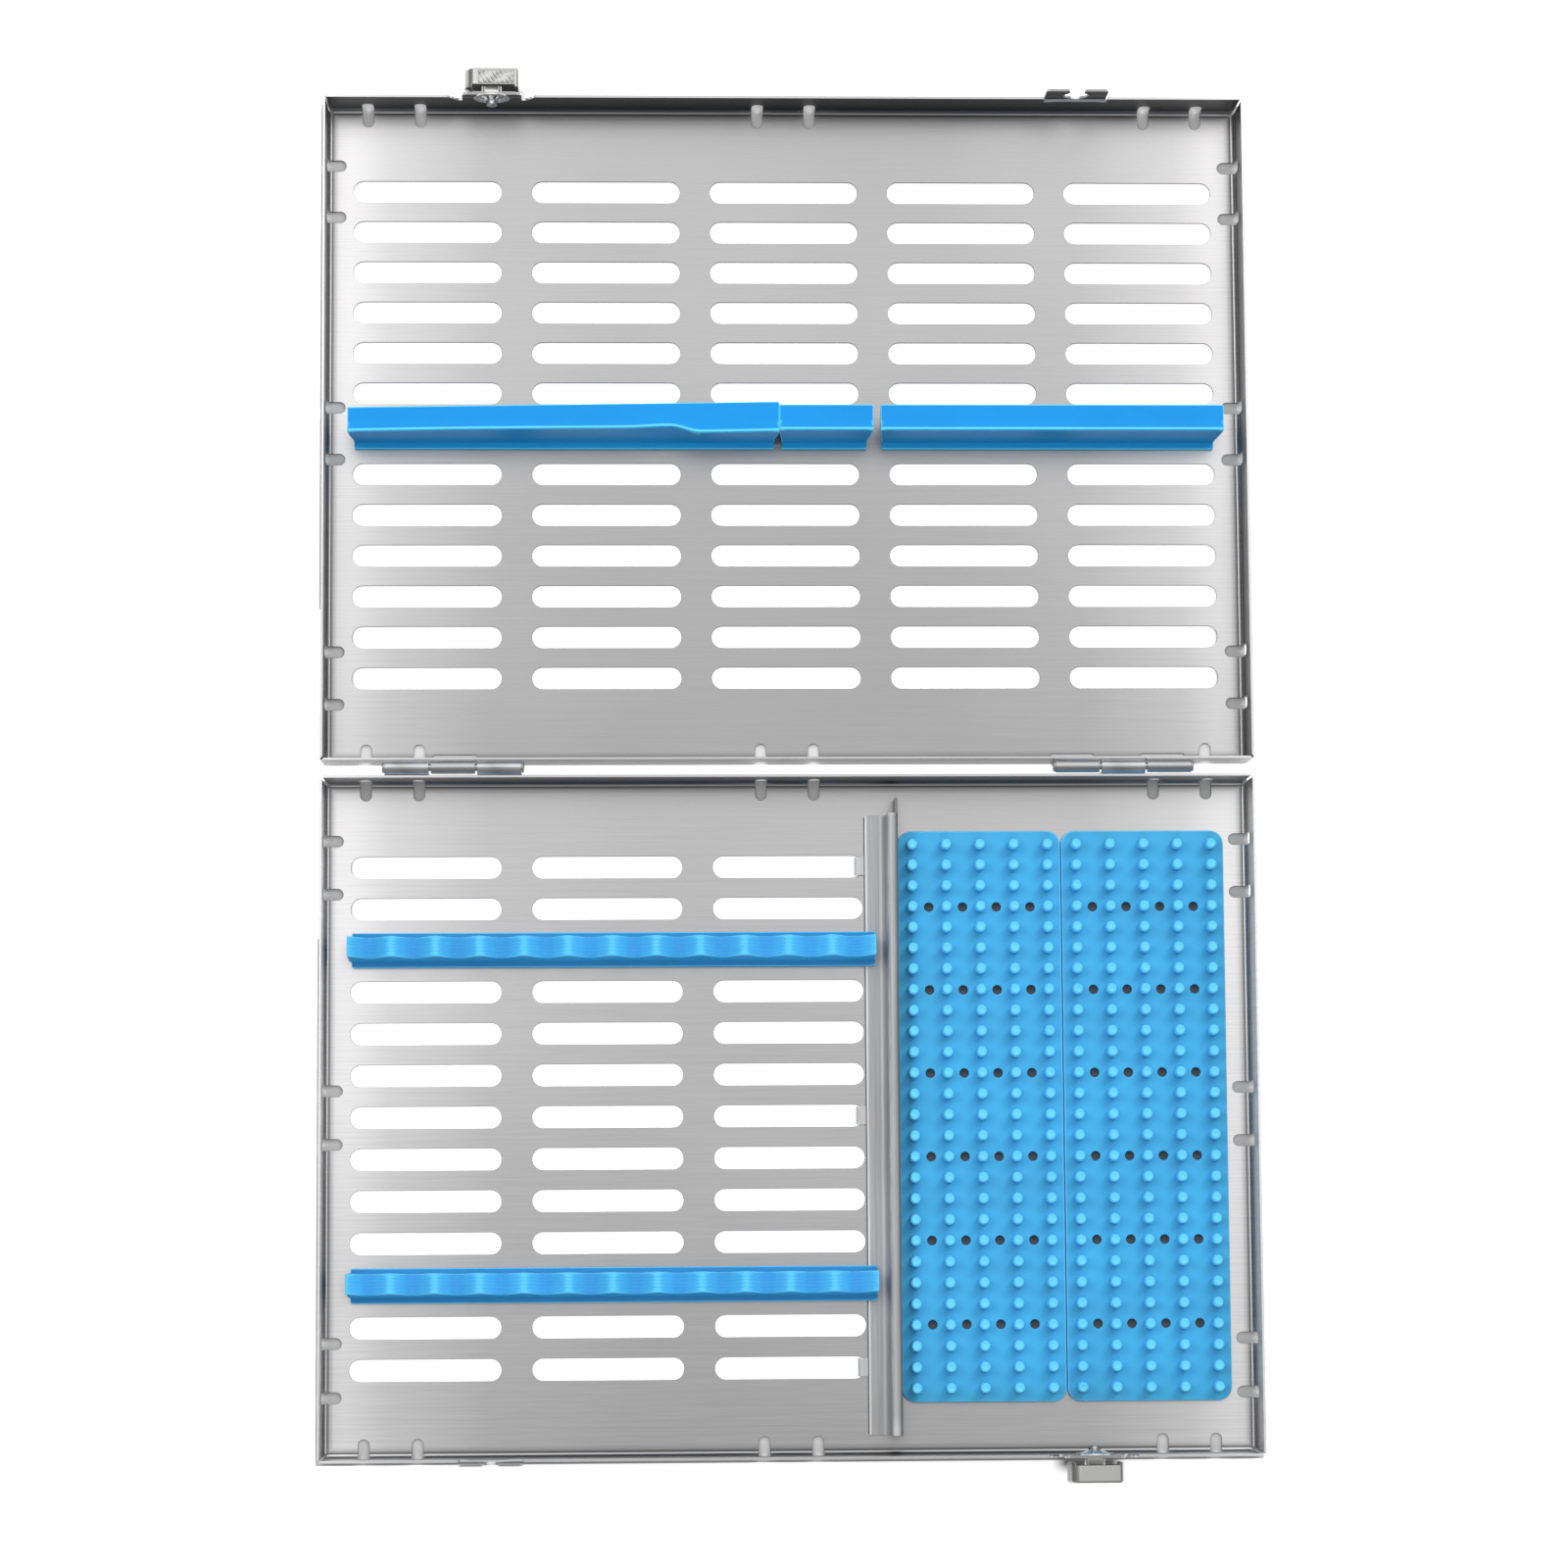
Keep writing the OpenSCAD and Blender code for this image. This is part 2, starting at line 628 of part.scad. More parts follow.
in_base() tray([]);  // base_tray
in_base() translate([0, strip_y, 0]) rail(strip_left + rail_play, divider_x - rail_play, left_cols);  // base_rear_rail
in_base() translate([0, -strip_y, 0]) rail(strip_left + rail_play, divider_x - rail_play, left_cols);  // base_front_rail
in_base() translate([0, strip_y, 0]) base_strip();  // base_rear_strip
in_base() translate([0, -strip_y, 0]) base_strip();  // base_front_strip
in_base() divider();
in_base() mat(mats_x);  // left_mat
in_base() mat(mats_x + mat_w + mat_gap);  // right_mat
in_base() hinge_leaf(base_knuckles[0], rim_h - leaf_h);  // base_hinge_leaf_1
in_base() hinge_leaf(base_knuckles[1], rim_h - leaf_h);  // base_hinge_leaf_2
in_base() hinge_leaf(base_knuckles[2], rim_h - leaf_h);  // base_hinge_leaf_3
hinge_pin(-hinge_x);  // hinge_pin_left
hinge_pin(hinge_x);  // hinge_pin_right
in_lid() tray([for (x = lid_knuckles) -x]);  // lid_tray
translate([0, tray_y, 0]) rail(strip_left + rail_play, lid_cut_b - rail_play, left_cols);  // lid_left_rail
translate([0, tray_y, 0]) rail(lid_cut_c + rail_play, lid_right - rail_play, right_cols);  // lid_right_rail
translate([0, tray_y, 0]) lid_strip(strip_left, lid_cut_a);  // lid_left_strip
translate([0, tray_y, 0]) lid_strip(lid_cut_a, lid_cut_b);  // lid_middle_strip
translate([0, tray_y, 0]) lid_strip(lid_cut_c, lid_right);  // lid_right_strip
in_lid() lid_leaf(-lid_knuckles[0]);  // lid_hinge_leaf_1
in_lid() lid_leaf(-lid_knuckles[1]);  // lid_hinge_leaf_2
in_lid() lid_leaf(-lid_knuckles[2]);  // lid_hinge_leaf_3
in_base() at_latch() rotate([0, 180, 0]) latch_knob();  // base_latch_knob
in_base() at_latch() star_washer();  // base_star_washer
in_lid() at_latch() latch_knob();  // lid_latch_knob
in_lid() at_latch() star_washer();  // lid_star_washer
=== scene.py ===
# %% [markdown]
# # Instrument cassette, lying open
# A flat cassette that carries hand instruments through washing and sterilising. Two trays of
# perforated steel sheet are hinged along one long side. Blue silicone strips hold instruments
# apart, and two pin mats carry more of them beside a divider.
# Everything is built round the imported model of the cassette, in metres and in its frame: +X runs
# along the hinge, +Y from the base to the lid and +Z up. The origin is on the table.

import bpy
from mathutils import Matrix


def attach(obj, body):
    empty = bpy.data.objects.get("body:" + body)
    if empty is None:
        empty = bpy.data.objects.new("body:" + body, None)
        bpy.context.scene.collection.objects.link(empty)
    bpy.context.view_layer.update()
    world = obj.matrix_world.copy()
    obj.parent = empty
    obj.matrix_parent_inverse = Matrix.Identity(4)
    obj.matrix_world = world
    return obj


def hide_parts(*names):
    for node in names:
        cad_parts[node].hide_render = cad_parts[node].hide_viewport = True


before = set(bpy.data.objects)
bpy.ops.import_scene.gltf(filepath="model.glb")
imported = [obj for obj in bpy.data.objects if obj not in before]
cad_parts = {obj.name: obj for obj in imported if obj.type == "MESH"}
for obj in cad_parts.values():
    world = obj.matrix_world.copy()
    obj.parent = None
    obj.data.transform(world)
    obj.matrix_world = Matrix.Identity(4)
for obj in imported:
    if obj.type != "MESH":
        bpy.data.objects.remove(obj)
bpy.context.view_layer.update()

# %% Tools and units
import math
from contextlib import contextmanager

import bmesh
import bpy
import numpy as np
from mathutils import Matrix, Vector
from mathutils.geometry import delaunay_2d_cdt

MM = 0.001
scene = bpy.context.scene

# %% [markdown]
# ## Camera
# The picture is taken from nearly straight above, from over a metre away, so the walls of both
# trays lean outwards only a little. Place, aim, roll and focal length were found by matching the
# corners of the trays and the rows of slots in one pinhole camera.

# %% Place the camera
CAMERA_AT = Vector((-51.6, -145.8, 1336.2)) * MM
CAMERA_AIM = Vector((-0.93, -3.52, 0.0)) * MM
CAMERA_ROLL = 0.00636
FOCAL_PX = 4534.0
FRAME_PX = 1600.0
SENSOR = 36.0

camera_data = bpy.data.cameras.new("camera")
camera_data.sensor_width = SENSOR
camera_data.lens = FOCAL_PX / FRAME_PX * SENSOR
camera_data.clip_start = 0.01
camera = bpy.data.objects.new("camera", camera_data)
scene.collection.objects.link(camera)
away = (CAMERA_AT - CAMERA_AIM).normalized()
up = Vector((math.sin(CAMERA_ROLL), math.cos(CAMERA_ROLL), 0.0))
right = up.cross(away).normalized()
turn = Matrix((right, away.cross(right), away)).transposed()
camera.matrix_world = Matrix.Translation(CAMERA_AT) @ turn.to_4x4()
scene.camera = camera
scene.view_settings.view_transform = "Standard"
print("lens in mm:", round(camera_data.lens, 1))

# %% [markdown]
# ## Floor and light
# The cassette lies on a white floor in a light tent. Steel shows what it reflects: the tent is
# bright overhead, leans a little to the rear and falls off on all sides, which is why walls look
# dark, with painted shade on them besides, and the flat sheet looks pale. A soft key lamp from
# behind on the right gives the silicone its form. The floor also glows a little, so that it stays
# white. Where the cassette covers it, the floor's glow and colour take a painted shade, so the
# slots, the mats' holes and the gaps at the knobs look grey; the narrow gap between the halves
# gets extra glow, a painted light that keeps it white.

# %% Node helpers
class Wire:
    """One output of a node. Sums of wires and plain numbers turn into Math nodes."""

    def __init__(self, tree, socket):
        self.tree, self.socket = tree, socket

    def __getitem__(self, name):
        """Another output of the same node."""
        return Wire(self.tree, self.socket.node.outputs[name])

    def to(self, target, name):
        """Feeds an input of a node."""
        self.tree.links.new(self.socket, target.inputs[name])

    def math(self, operation, other=0.0):
        return add(self.tree, "ShaderNodeMath", {0: self, 1: other}, operation=operation)

    def __add__(self, other):
        return self.math("ADD", other)

    def __sub__(self, other):
        return self.math("SUBTRACT", other)

    def __rsub__(self, other):
        return self * -1.0 + other

    def __mul__(self, other):
        return self.math("MULTIPLY", other)

    def __truediv__(self, other):
        return self.math("DIVIDE", other)

    def __gt__(self, other):
        return self.math("GREATER_THAN", other)

    def __lt__(self, other):
        return self.math("LESS_THAN", other)

    def __abs__(self):
        return self.math("ABSOLUTE")


def add(tree, kind, inputs=None, **settings):
    """Adds a node, sets its properties, feeds its inputs and gives its first output."""
    made = tree.nodes.new(kind if "Node" in kind else tree.bl_idname[:-4] + kind)
    for name, value in settings.items():
        setattr(made, name, value)
    for name, value in (inputs or {}).items():
        for one in value if isinstance(value, list) else [value]:
            if isinstance(one, Wire):
                one.to(made, name)
            else:
                made.inputs[name].default_value = one
    return Wire(tree, made.outputs[0]) if made.outputs else made


def ramp(number, stops):
    """Sends a number through a colour ramp with the given grey or colour stops."""
    made = add(number.tree, "ValToRGB", {"Fac": number})
    elements = made.socket.node.color_ramp.elements
    elements.remove(elements[1])
    for count, (place, colour) in enumerate(stops):
        element = elements.new(place) if count else elements[0]
        element.position = place
        element.color = (tuple(colour) if hasattr(colour, "__len__") else (colour,) * 3) + (1,)
    return made


def mix_colours(factor, low, high):
    """Mixes two colours, given as wires or as red, green and blue."""
    low, high = [c if isinstance(c, Wire) else tuple(c) + (1,) for c in (low, high)]
    return add(factor.tree, "Mix", {"Factor": factor, 6: low, 7: high}, data_type="RGBA")[2]


def multiplied(colour, factor):
    return add(colour.tree, "Mix", {"Factor": 1.0, 6: colour, 7: factor},
               data_type="RGBA", blend_type="MULTIPLY")[2]


def between(number, low, high, blur=1e-6):
    """1 where a number lies between two limits, else 0, with blurred limits."""
    limits = ((low, low + blur), (high, high - blur))
    up, down = [add(number.tree, "MapRange", {"Value": number, "From Min": zero, "From Max": one})
                for zero, one in limits]
    return up * down


def place_of(tree):
    """X, Y and Z of a point on its object, in metres."""
    place = add(tree, "SeparateXYZ", {0: add(tree, "TexCoord")["Object"]})
    return [place[axis] for axis in "XYZ"]


# Half the width and depth of a tray, and how far its middle lies from the hinge line
HALF_W, HALF_D, HALF_Y = 140.0 * MM, 101.5 * MM, 103.75 * MM


def from_walls(tree):
    """Distance inwards from a tray's nearest end wall, and from its nearest wall of all."""
    x, y, _ = place_of(tree)
    across = HALF_W - abs(x)
    return across, across.math("MINIMUM", HALF_D - abs(abs(y) - HALF_Y))


# %% Where the floor's glow shows: places of painted shade and painted light on the floor, in metres; a third number is the blur of the limits
MATS_X, MATS_Y = (0.034, 0.131), (-0.188, -0.019)
KNOBS_X = (0.0780, 0.0998, 0.004)
BASE_KNOB_Y, LID_KNOB_Y = (-0.2108, -0.2040, 0.003), (0.2040, 0.2130, 0.003)
HALVES_GAP, LID_FRONT = (-0.0023, 0.0023), (0.0, 0.012)
GAP_SHARE, FRONT_SHARE = 0.65, 0.45
HINGE_SIDE, RIM_REACH, BEND_SPAN = 0.05, 0.0015, 0.020
COVER_REACH, COVER_GAIN = 0.012, 6.0
BENDS = [(0.0, 1.0), (0.01, 0.11), (0.4, 0.3), (0.5, 1.0)]


def seen_by_eye(tree):
    """1 for rays from the camera, or by way of metal or glass, and 0 for rays that carry light."""
    path = add(tree, "LightPath")
    seen = path["Is Camera Ray"] + path["Is Glossy Ray"] + path["Is Transmission Ray"]
    return seen.math("MINIMUM", 1.0)


def lit_share(tree):
    """How much of the floor's glow and colour shows: a painted shade where the cassette keeps light
    off the table, and painted light in the gap between the halves.
    """
    x, y, _ = place_of(tree)
    past_rim = (abs(y) > HINGE_SIDE) * RIM_REACH
    bends = ramp((from_walls(tree)[1] + past_rim) / BEND_SPAN, BENDS)
    bends = bends.math("MAXIMUM", between(y, *LID_FRONT) * FRONT_SHARE)
    mats = between(x, *MATS_X) * between(y, *MATS_Y)
    knobs = between(y, *BASE_KNOB_Y) * (x > 0.0) + between(y, *LID_KNOB_Y) * (x < 0.0)
    knobs = between(abs(x), *KNOBS_X) * knobs
    # Painted shade under the drain slots near the walls, under the mats' holes and in the knobs'
    # gaps
    shaded = 1.0 - bends * (1.0 - mats.math("MAXIMUM", knobs))
    above = add(tree, "AmbientOcclusion", {"Distance": COVER_REACH}, samples=12)["AO"]
    covered = ((1.0 - above) * COVER_GAIN).math("MINIMUM", 1.0)
    return between(y, *HALVES_GAP) * covered * GAP_SHARE + (1.0 - covered * shaded)


# %% White floor that keeps the shadow
FLOOR_SIZE, FLOOR_DROP = 8.0, 0.00005
FLOOR_LIFT = 0.60
PAINTED_SHADE_GREY, OPEN_WHITE = (0.22, 0.22, 0.22), (0.86, 0.86, 0.86)

floor_mesh = bpy.data.meshes.new("floor")
floor_mesh.from_pydata([(x * FLOOR_SIZE / 2, y * FLOOR_SIZE / 2, 0)
                        for x, y in ((-1, -1), (1, -1), (1, 1), (-1, 1))], [], [(0, 1, 2, 3)])
floor = bpy.data.objects.new("floor", floor_mesh)
floor.location.z = -FLOOR_DROP
scene.collection.objects.link(floor)
floor_paint = bpy.data.materials.new("floor_paint")
floor_paint.use_nodes = True
tree = floor_paint.node_tree
tree.nodes.clear()
share = lit_share(tree)
# Painted shade: the floor's colour greys where less of its glow shows
paint = add(tree, "BsdfDiffuse", {"Color": mix_colours(share, PAINTED_SHADE_GREY, OPEN_WHITE)})
lift = seen_by_eye(tree) * FLOOR_LIFT * share
glow = add(tree, "Emission", {"Color": (1, 1, 1, 1), "Strength": lift})
add(tree, "OutputMaterial", {"Surface": add(tree, "AddShader", {0: paint, 1: glow})})
floor_mesh.materials.append(floor_paint)

# %% Light tent and lamps
TENT_STRENGTH = 1.85
TENT_LEAN = Vector((0.0, 0.42, 0.91)).normalized()
# Brightness by the cosine of the angle to the tent's brightest direction
TENT = [(0.0, 0.15), (0.45, 0.16), (0.74, 0.20), (0.86, 0.42), (0.90, 0.60), (0.95, 0.78),
        (0.99, 0.92)]
# Place in metres, side in metres and power in watts; each lamp looks at the origin
LAMPS = {"key": ((0.9, 1.0, 1.3), 0.8, 13.5), "fill": ((-1.1, 0.4, 1.3), 0.9, 8.5),
         "front": ((0.2, -1.7, 0.9), 0.9, 10.0)}

world = bpy.data.worlds.new("tent")
scene.world = world
world.use_nodes = True
tree = world.node_tree
tree.nodes.clear()
tilt = add(tree, "VectorMath", {0: add(tree, "TexCoord")["Generated"], 1: TENT_LEAN},
           operation="DOT_PRODUCT")["Value"]
white = (1 / TENT_STRENGTH,) * 3
tent = mix_colours(add(tree, "LightPath")["Is Camera Ray"], ramp(tilt, TENT), white)
shell = add(tree, "Background", {"Color": tent, "Strength": TENT_STRENGTH})
add(tree, "OutputWorld", {"Surface": shell})
for name, (place, size, power) in LAMPS.items():
    lamp = bpy.data.lights.new(name, "AREA")
    lamp.size, lamp.energy = size, power
    lamp = bpy.data.objects.new(name, lamp)
    scene.collection.objects.link(lamp)
    lamp.location = place
    lamp.rotation_euler = (-Vector(place)).to_track_quat("-Z", "Y").to_euler()
    lamp.visible_glossy = False
print("floor, tent and", len(LAMPS), "lamps")

# %% [markdown]
# ## Steel
# The trays are pressed from brushed sheet: the blank is brushed lengthwise before it is punched
# and folded, so the brush lines run along the hinge on the floor and turn up with the end walls.
# The pattern therefore follows the flat blank, which each tray keeps as its UV map. Thin noise,
# stretched along the brush direction, drives colour, roughness and a shallow bump. Tones by place
# are painted shade and light for the soft shadows between the walls: dark walls and bends, paler
# cut edges and bright lines on the bends as painted highlights, and a floor painted darker near its
# walls and from its ends to its middle, paler in the base and darker in the lid near the hinge.

# %% Brushed and satin steel
def principled(name, values):
    """A new material with a Principled shader, whose even values are set on its sockets."""
    material = bpy.data.materials.new(name)
    material.use_nodes = True
    shader = material.node_tree.nodes["Principled BSDF"]
    for key, value in values.items():
        shader.inputs[key].default_value = value
    return material, material.node_tree, shader


def noise(tree, scale, uv=None, detail=2.0):
    """Noise from 0 to 1 on the blank's UV map or on the object; scale per metre along x, y, z."""
    source = add(tree, "UVMap", uv_map=uv) if uv else add(tree, "TexCoord")["Object"]
    place = add(tree, "Mapping", {"Vector": source, "Scale": scale})
    return add(tree, "TexNoise", {
        "Vector": place, "Scale": 1.0, "Detail": detail, "Roughness": 0.5})


def bump(shader, height, strength, distance):
    """Feeds a height into the shader's normal."""
    add(height.tree, "Bump", {
        "Height": height, "Strength": strength, "Distance": distance}).to(shader, "Normal")


TALLEST = 24


def over(length, start, span, stops):
    """A ramp over a length in metres, with start, span and stops in millimetres."""
    part = (length - start * MM) * (1 / (span * MM))
    return ramp(part, [((place - start) / span, tone) for place, tone in stops])


def by_height(tree, stops):
    """A ramp over the height above the table, with stops in millimetres."""
    return over(place_of(tree)[2], 0, TALLEST, stops)


def edge_share(tree, full):
    """0 on the flats of a mesh, and 1 where it is as convex as the given share."""
    return ramp(add(tree, "Attribute", attribute_name="edge")["Fac"], [(0.03, 0.0), (full, 1.0)])


# %% Painted shade and light of a tray by place, with places in millimetres
# Painted shade near the walls, painted light towards the end walls, and painted tones along the
# depth
NEAR_WALL = [(1.90, 1.0), (1.98, 0.18), (2.4, 0.35), (2.9, 0.72), (4.2, 1.0)]
TOWARDS_END = [(3, 1.3), (10, 1.18), (20, 0.98), (50, 0.76), (90, 0.70)]
DEPTHWISE = [(-205, 1.0), (-150, 1.02), (-100, 1.10), (-8, 1.12), (8, 0.88), (70, 0.90),
             (120, 1.0)]
CUT_TOPS = [(5.0, 0.0), (5.5, 0.8), (15.5, 0.8), (15.8, 0.25)]
# Painted shade on the walls of the lid and of the base, and on the sides of the slots within the
# sheet
LID_WALL, BASE_WALL = 0.24, 0.70
SLOT_WALL, SLOT_DARK = (0.06 * MM, 0.77 * MM), 0.88


def wall_tones(wall):
    """Painted tones by height: floor, a dark then a bright painted line on the bend, painted shade
    on the wall, rim, and the tongue above the rim.
    """
    return [(0.9, 1.0), (1.0, 0.4), (1.3, 0.4), (1.5, 1.0), (2.1, 1.0), (2.5, wall),
            (8.0, wall * 1.1), (15.3, wall * 1.2), (15.72, 1.0), (15.86, 1.0), (16.0, 0.35)]


def tray_shade(tree, colour):
    """Painted shade and light on a tray: the floor darkens towards its walls and middle, walls and
    slot sides are darker, and each bend is a dark, then a bright line.
    """
    _, y, z = place_of(tree)
    across, inwards = from_walls(tree)
    lid, base = [by_height(tree, wall_tones(wall)) for wall in (LID_WALL, BASE_WALL)]
    for factor in (over(inwards, 0, 20, NEAR_WALL), over(across, 0, 100, TOWARDS_END),
                   over(y, -210, 420, DEPTHWISE), mix_colours(y < 0.0, lid, base),
                   1.0 - between(z, *SLOT_WALL) * SLOT_DARK):
        colour = multiplied(colour, factor)
    return colour


def cut_tops(tree):
    """1 on cut edges that face up, high on a wall, where a painted highlight stands for the light
    they catch from above.
    """
    side = add(tree, "SeparateXYZ", {0: add(tree, "NewGeometry")["Normal"]})["Z"]
    return ramp(side, [(0.5, 0.0), (0.85, 1.0)]) * by_height(tree, CUT_TOPS)


# %% The steels
# A painted highlight for cut edges that face up, and a painted shade for the rims of the floor's
# slots
BRIGHT_TOP, SLOT_RIM_SHADE = (0.85, 0.85, 0.85), (0.10, 0.10, 0.10)
SLOT_RIMS, UPPER_EDGES = [(0.84, 1.0), (0.9, 0.0)], [(0.9, 0.0), (1.0, 1.0)]
# Darker and lighter grain by noise; convex edges are brightened as a painted highlight
DARKER, LIGHTER, EDGE_HIGHLIGHT = 0.19, 0.14, 1.35


def brushed_steel(name, colour, lines, uv=None, rough=(0.30, 0.42), contrast=1.0, metallic=1.0):
    """Steel with fine lines. lines: scale of the pattern per metre along x, y and z."""
    material, tree, shader = principled(name, {"Metallic": metallic})
    finer = noise(tree, tuple(k * 3.1 for k in lines), uv)
    streak = noise(tree, lines, uv, 3.0) * 0.6 + finer * 0.4
    shade = streak * 0.75 + noise(tree, (9, 14, 14), uv) * 0.25
    dark, light, highlight = [[min(1.0, c * k) for c in colour]
                         for k in (1 - DARKER * contrast, 1 + LIGHTER * contrast, EDGE_HIGHLIGHT)]
    tone = mix_colours(ramp(shade, [(0.36, 0.0), (0.62, 1.0)]), dark, light)
    # Painted highlight on convex edges; on a tray only on edges high on the walls, with a painted
    # highlight on upward cut edges and painted shade on the floor's slot rims
    bright = edge_share(tree, 0.12)
    if uv:
        tone = mix_colours(cut_tops(tree), tray_shade(tree, tone), BRIGHT_TOP)
        tone = mix_colours(bright * by_height(tree, SLOT_RIMS), tone, SLOT_RIM_SHADE)
        bright = bright * by_height(tree, UPPER_EDGES)
    mix_colours(bright, tone, highlight).to(shader, "Base Color")
    ramp(streak, [(0.3, rough[0]), (0.7, rough[1])]).to(shader, "Roughness")
    bump(shader, streak, 0.07 * contrast, 0.0002)
    return material


def repaint(material, change):
    """Replaces a material's colour by what change makes of it."""
    shader = material.node_tree.nodes["Principled BSDF"]
    plain = Wire(material.node_tree, shader.inputs["Base Color"].links[0].from_socket)
    change(plain).to(shader, "Base Color")
    return material


def tint(material, axis, start, span, stops):
    """Multiplies a material's colour by a ramp along one axis of the object, in millimetres."""
    return repaint(material, lambda plain: multiplied(
        plain, over(place_of(plain.tree)["XYZ".index(axis)], start, span, stops)))


STEEL, DULL_STEEL = (0.63, 0.622, 0.625), (0.46, 0.46, 0.465)
ALONG_X, ALONG_Y = (22, 1100, 1100), (1100, 22, 1100)
# Painted light and shade across the divider, along x in millimetres: a dark, then a bright line at
# the flange's edge, painted highlights on the bend and the fold, and painted shade on the far side
# of the fold
FOLD_TONES = [
    (22.9, 1.2), (23.0, 0.35), (23.25, 0.35), (23.4, 1.7), (23.75, 1.7), (24.0, 1.0), (27.4, 1.0),
    (27.8, 1.4), (28.2, 1.4), (28.6, 0.9), (29.4, 0.9), (29.9, 1.25), (30.5, 1.25), (31.0, 0.9),
    (31.8, 0.8), (32.3, 0.45)]
tray_paint = brushed_steel("brushed_tray", STEEL, (22, 1100, 1), uv="blank", contrast=0.7)
fold_steel = brushed_steel("fold_steel", DULL_STEEL, ALONG_Y, rough=(0.42, 0.52), metallic=0.4)
tint(fold_steel, "X", 19, 15, FOLD_TONES)
leaf_steel = brushed_steel("leaf_steel", DULL_STEEL, ALONG_X)
# Painted shade: the leaves are nearly black below 2.3 mm, where the lid's leaves turn in through
# its windows
tint(leaf_steel, "Z", 0, 20, [(2.3, 0.08), (2.6, 1.0)])
cross_steel = brushed_steel("cross_steel", DULL_STEEL, ALONG_X)
print("steels:", tray_paint.name, fold_steel.name, leaf_steel.name, cross_steel.name)

# %% [markdown]
# ## Helpers for meshes
# Pressed sheet has no sharp corner: every punched edge is broken by a tenth of a millimetre, and
# that thin edge is what catches the light. So each mesh below has narrow strips of faces along
# its edges, and normals weighted by area, which keep the flats flat and round off only the strips.

# %% Make and finish meshes
def make_mesh(name, points, faces):
    """An object at the origin from points in millimetres; faces are lists of point numbers."""
    mesh = bpy.data.meshes.new(name)
    mesh.from_pydata([tuple(c * MM for c in p) for p in points], [], faces)
    mesh.update()
    piece = bpy.data.objects.new(name, mesh)
    scene.collection.objects.link(piece)
    return piece


@contextmanager
def edited(piece):
    """Opens a piece's mesh for editing, and puts it back afterwards."""
    bm = bmesh.new()
    bm.from_mesh(piece.data)
    yield bm
    bm.to_mesh(piece.data)
    bm.free()


def read(items, name, width=1, kind=float):
    """One property of all items of a mesh, as an array."""
    values = np.zeros(len(items) * width, kind)
    items.foreach_get(name, values)
    return values.reshape(-1, width) if width > 1 else values


def weld(piece, distance=0.004):
    """Merges doubled points, turns all faces outwards and counts the open edges."""
    with edited(piece) as bm:
        bmesh.ops.remove_doubles(bm, verts=bm.verts, dist=distance * MM)
        bmesh.ops.dissolve_degenerate(bm, edges=bm.edges, dist=0.0005 * MM)
        bmesh.ops.recalc_face_normals(bm, faces=bm.faces)
        return sum(1 for e in bm.edges if len(e.link_faces) != 2)


def join_all(name, pieces):
    """Joins pieces into the first one."""
    with edited(pieces[0]) as bm:
        for piece in pieces[1:]:
            bm.from_mesh(piece.data)
    for piece in pieces[1:]:
        bpy.data.objects.remove(piece)
    pieces[0].name = name
    return pieces[0]


def move_points(piece, change):
    """Moves all points of a mesh: change takes and gives an array in millimetres."""
    co = read(piece.data.vertices, "co", 3) / MM
    piece.data.vertices.foreach_set("co", (change(co) * MM).ravel())
    piece.data.update()


def moved(x, y, z):
    return Matrix.Translation((x * MM, y * MM, z * MM))


def turned_about(axis, degrees):
    return Matrix.Rotation(math.radians(degrees), 4, axis)


def skin(name, rings):
    """A closed body through equal rings of points, with both ends filled."""
    n, last = len(rings[0]), (len(rings) - 1) * len(rings[0])
    faces = [[i + k, i + (k + 1) % n, i + n + (k + 1) % n, i + n + k]
             for i in range(0, last, n) for k in range(n)]
    faces += [list(range(n))[::-1], [last + k for k in range(n)]]
    piece = make_mesh(name, [point for ring in rings for point in ring], faces)
    with edited(piece) as bm:
        bmesh.ops.triangulate(bm, faces=[f for f in bm.faces if len(f.verts) > 4])
        bmesh.ops.recalc_face_normals(bm, faces=bm.faces)
    return piece


# %% Shade and dress them
def mark_edges(mesh, normals, on_flat):
    """Stores how convex the surface is at each point, as the attribute "edge"; 0 on flats."""
    co, ends = read(mesh.vertices, "co", 3), read(mesh.edges, "vertices", 2, int)
    way = co[ends[:, 0]] - co[ends[:, 1]]
    way /= np.maximum(np.linalg.norm(way, axis=1), 1e-12)[:, None]
    total, share = np.zeros(len(co)), np.zeros(len(co))
    for end, sign in ((0, 1), (1, -1)):
        np.add.at(total, ends[:, end], sign * np.einsum("ij,ij->i", way, normals[ends[:, end]]))
        np.add.at(share, ends[:, end], 1)
    mark = mesh.attributes.get("edge") or mesh.attributes.new("edge", "FLOAT", "POINT")
    convex = np.clip(total / np.maximum(share, 1), 0, 1)
    mark.data.foreach_set("value", np.where(on_flat, 0, convex))


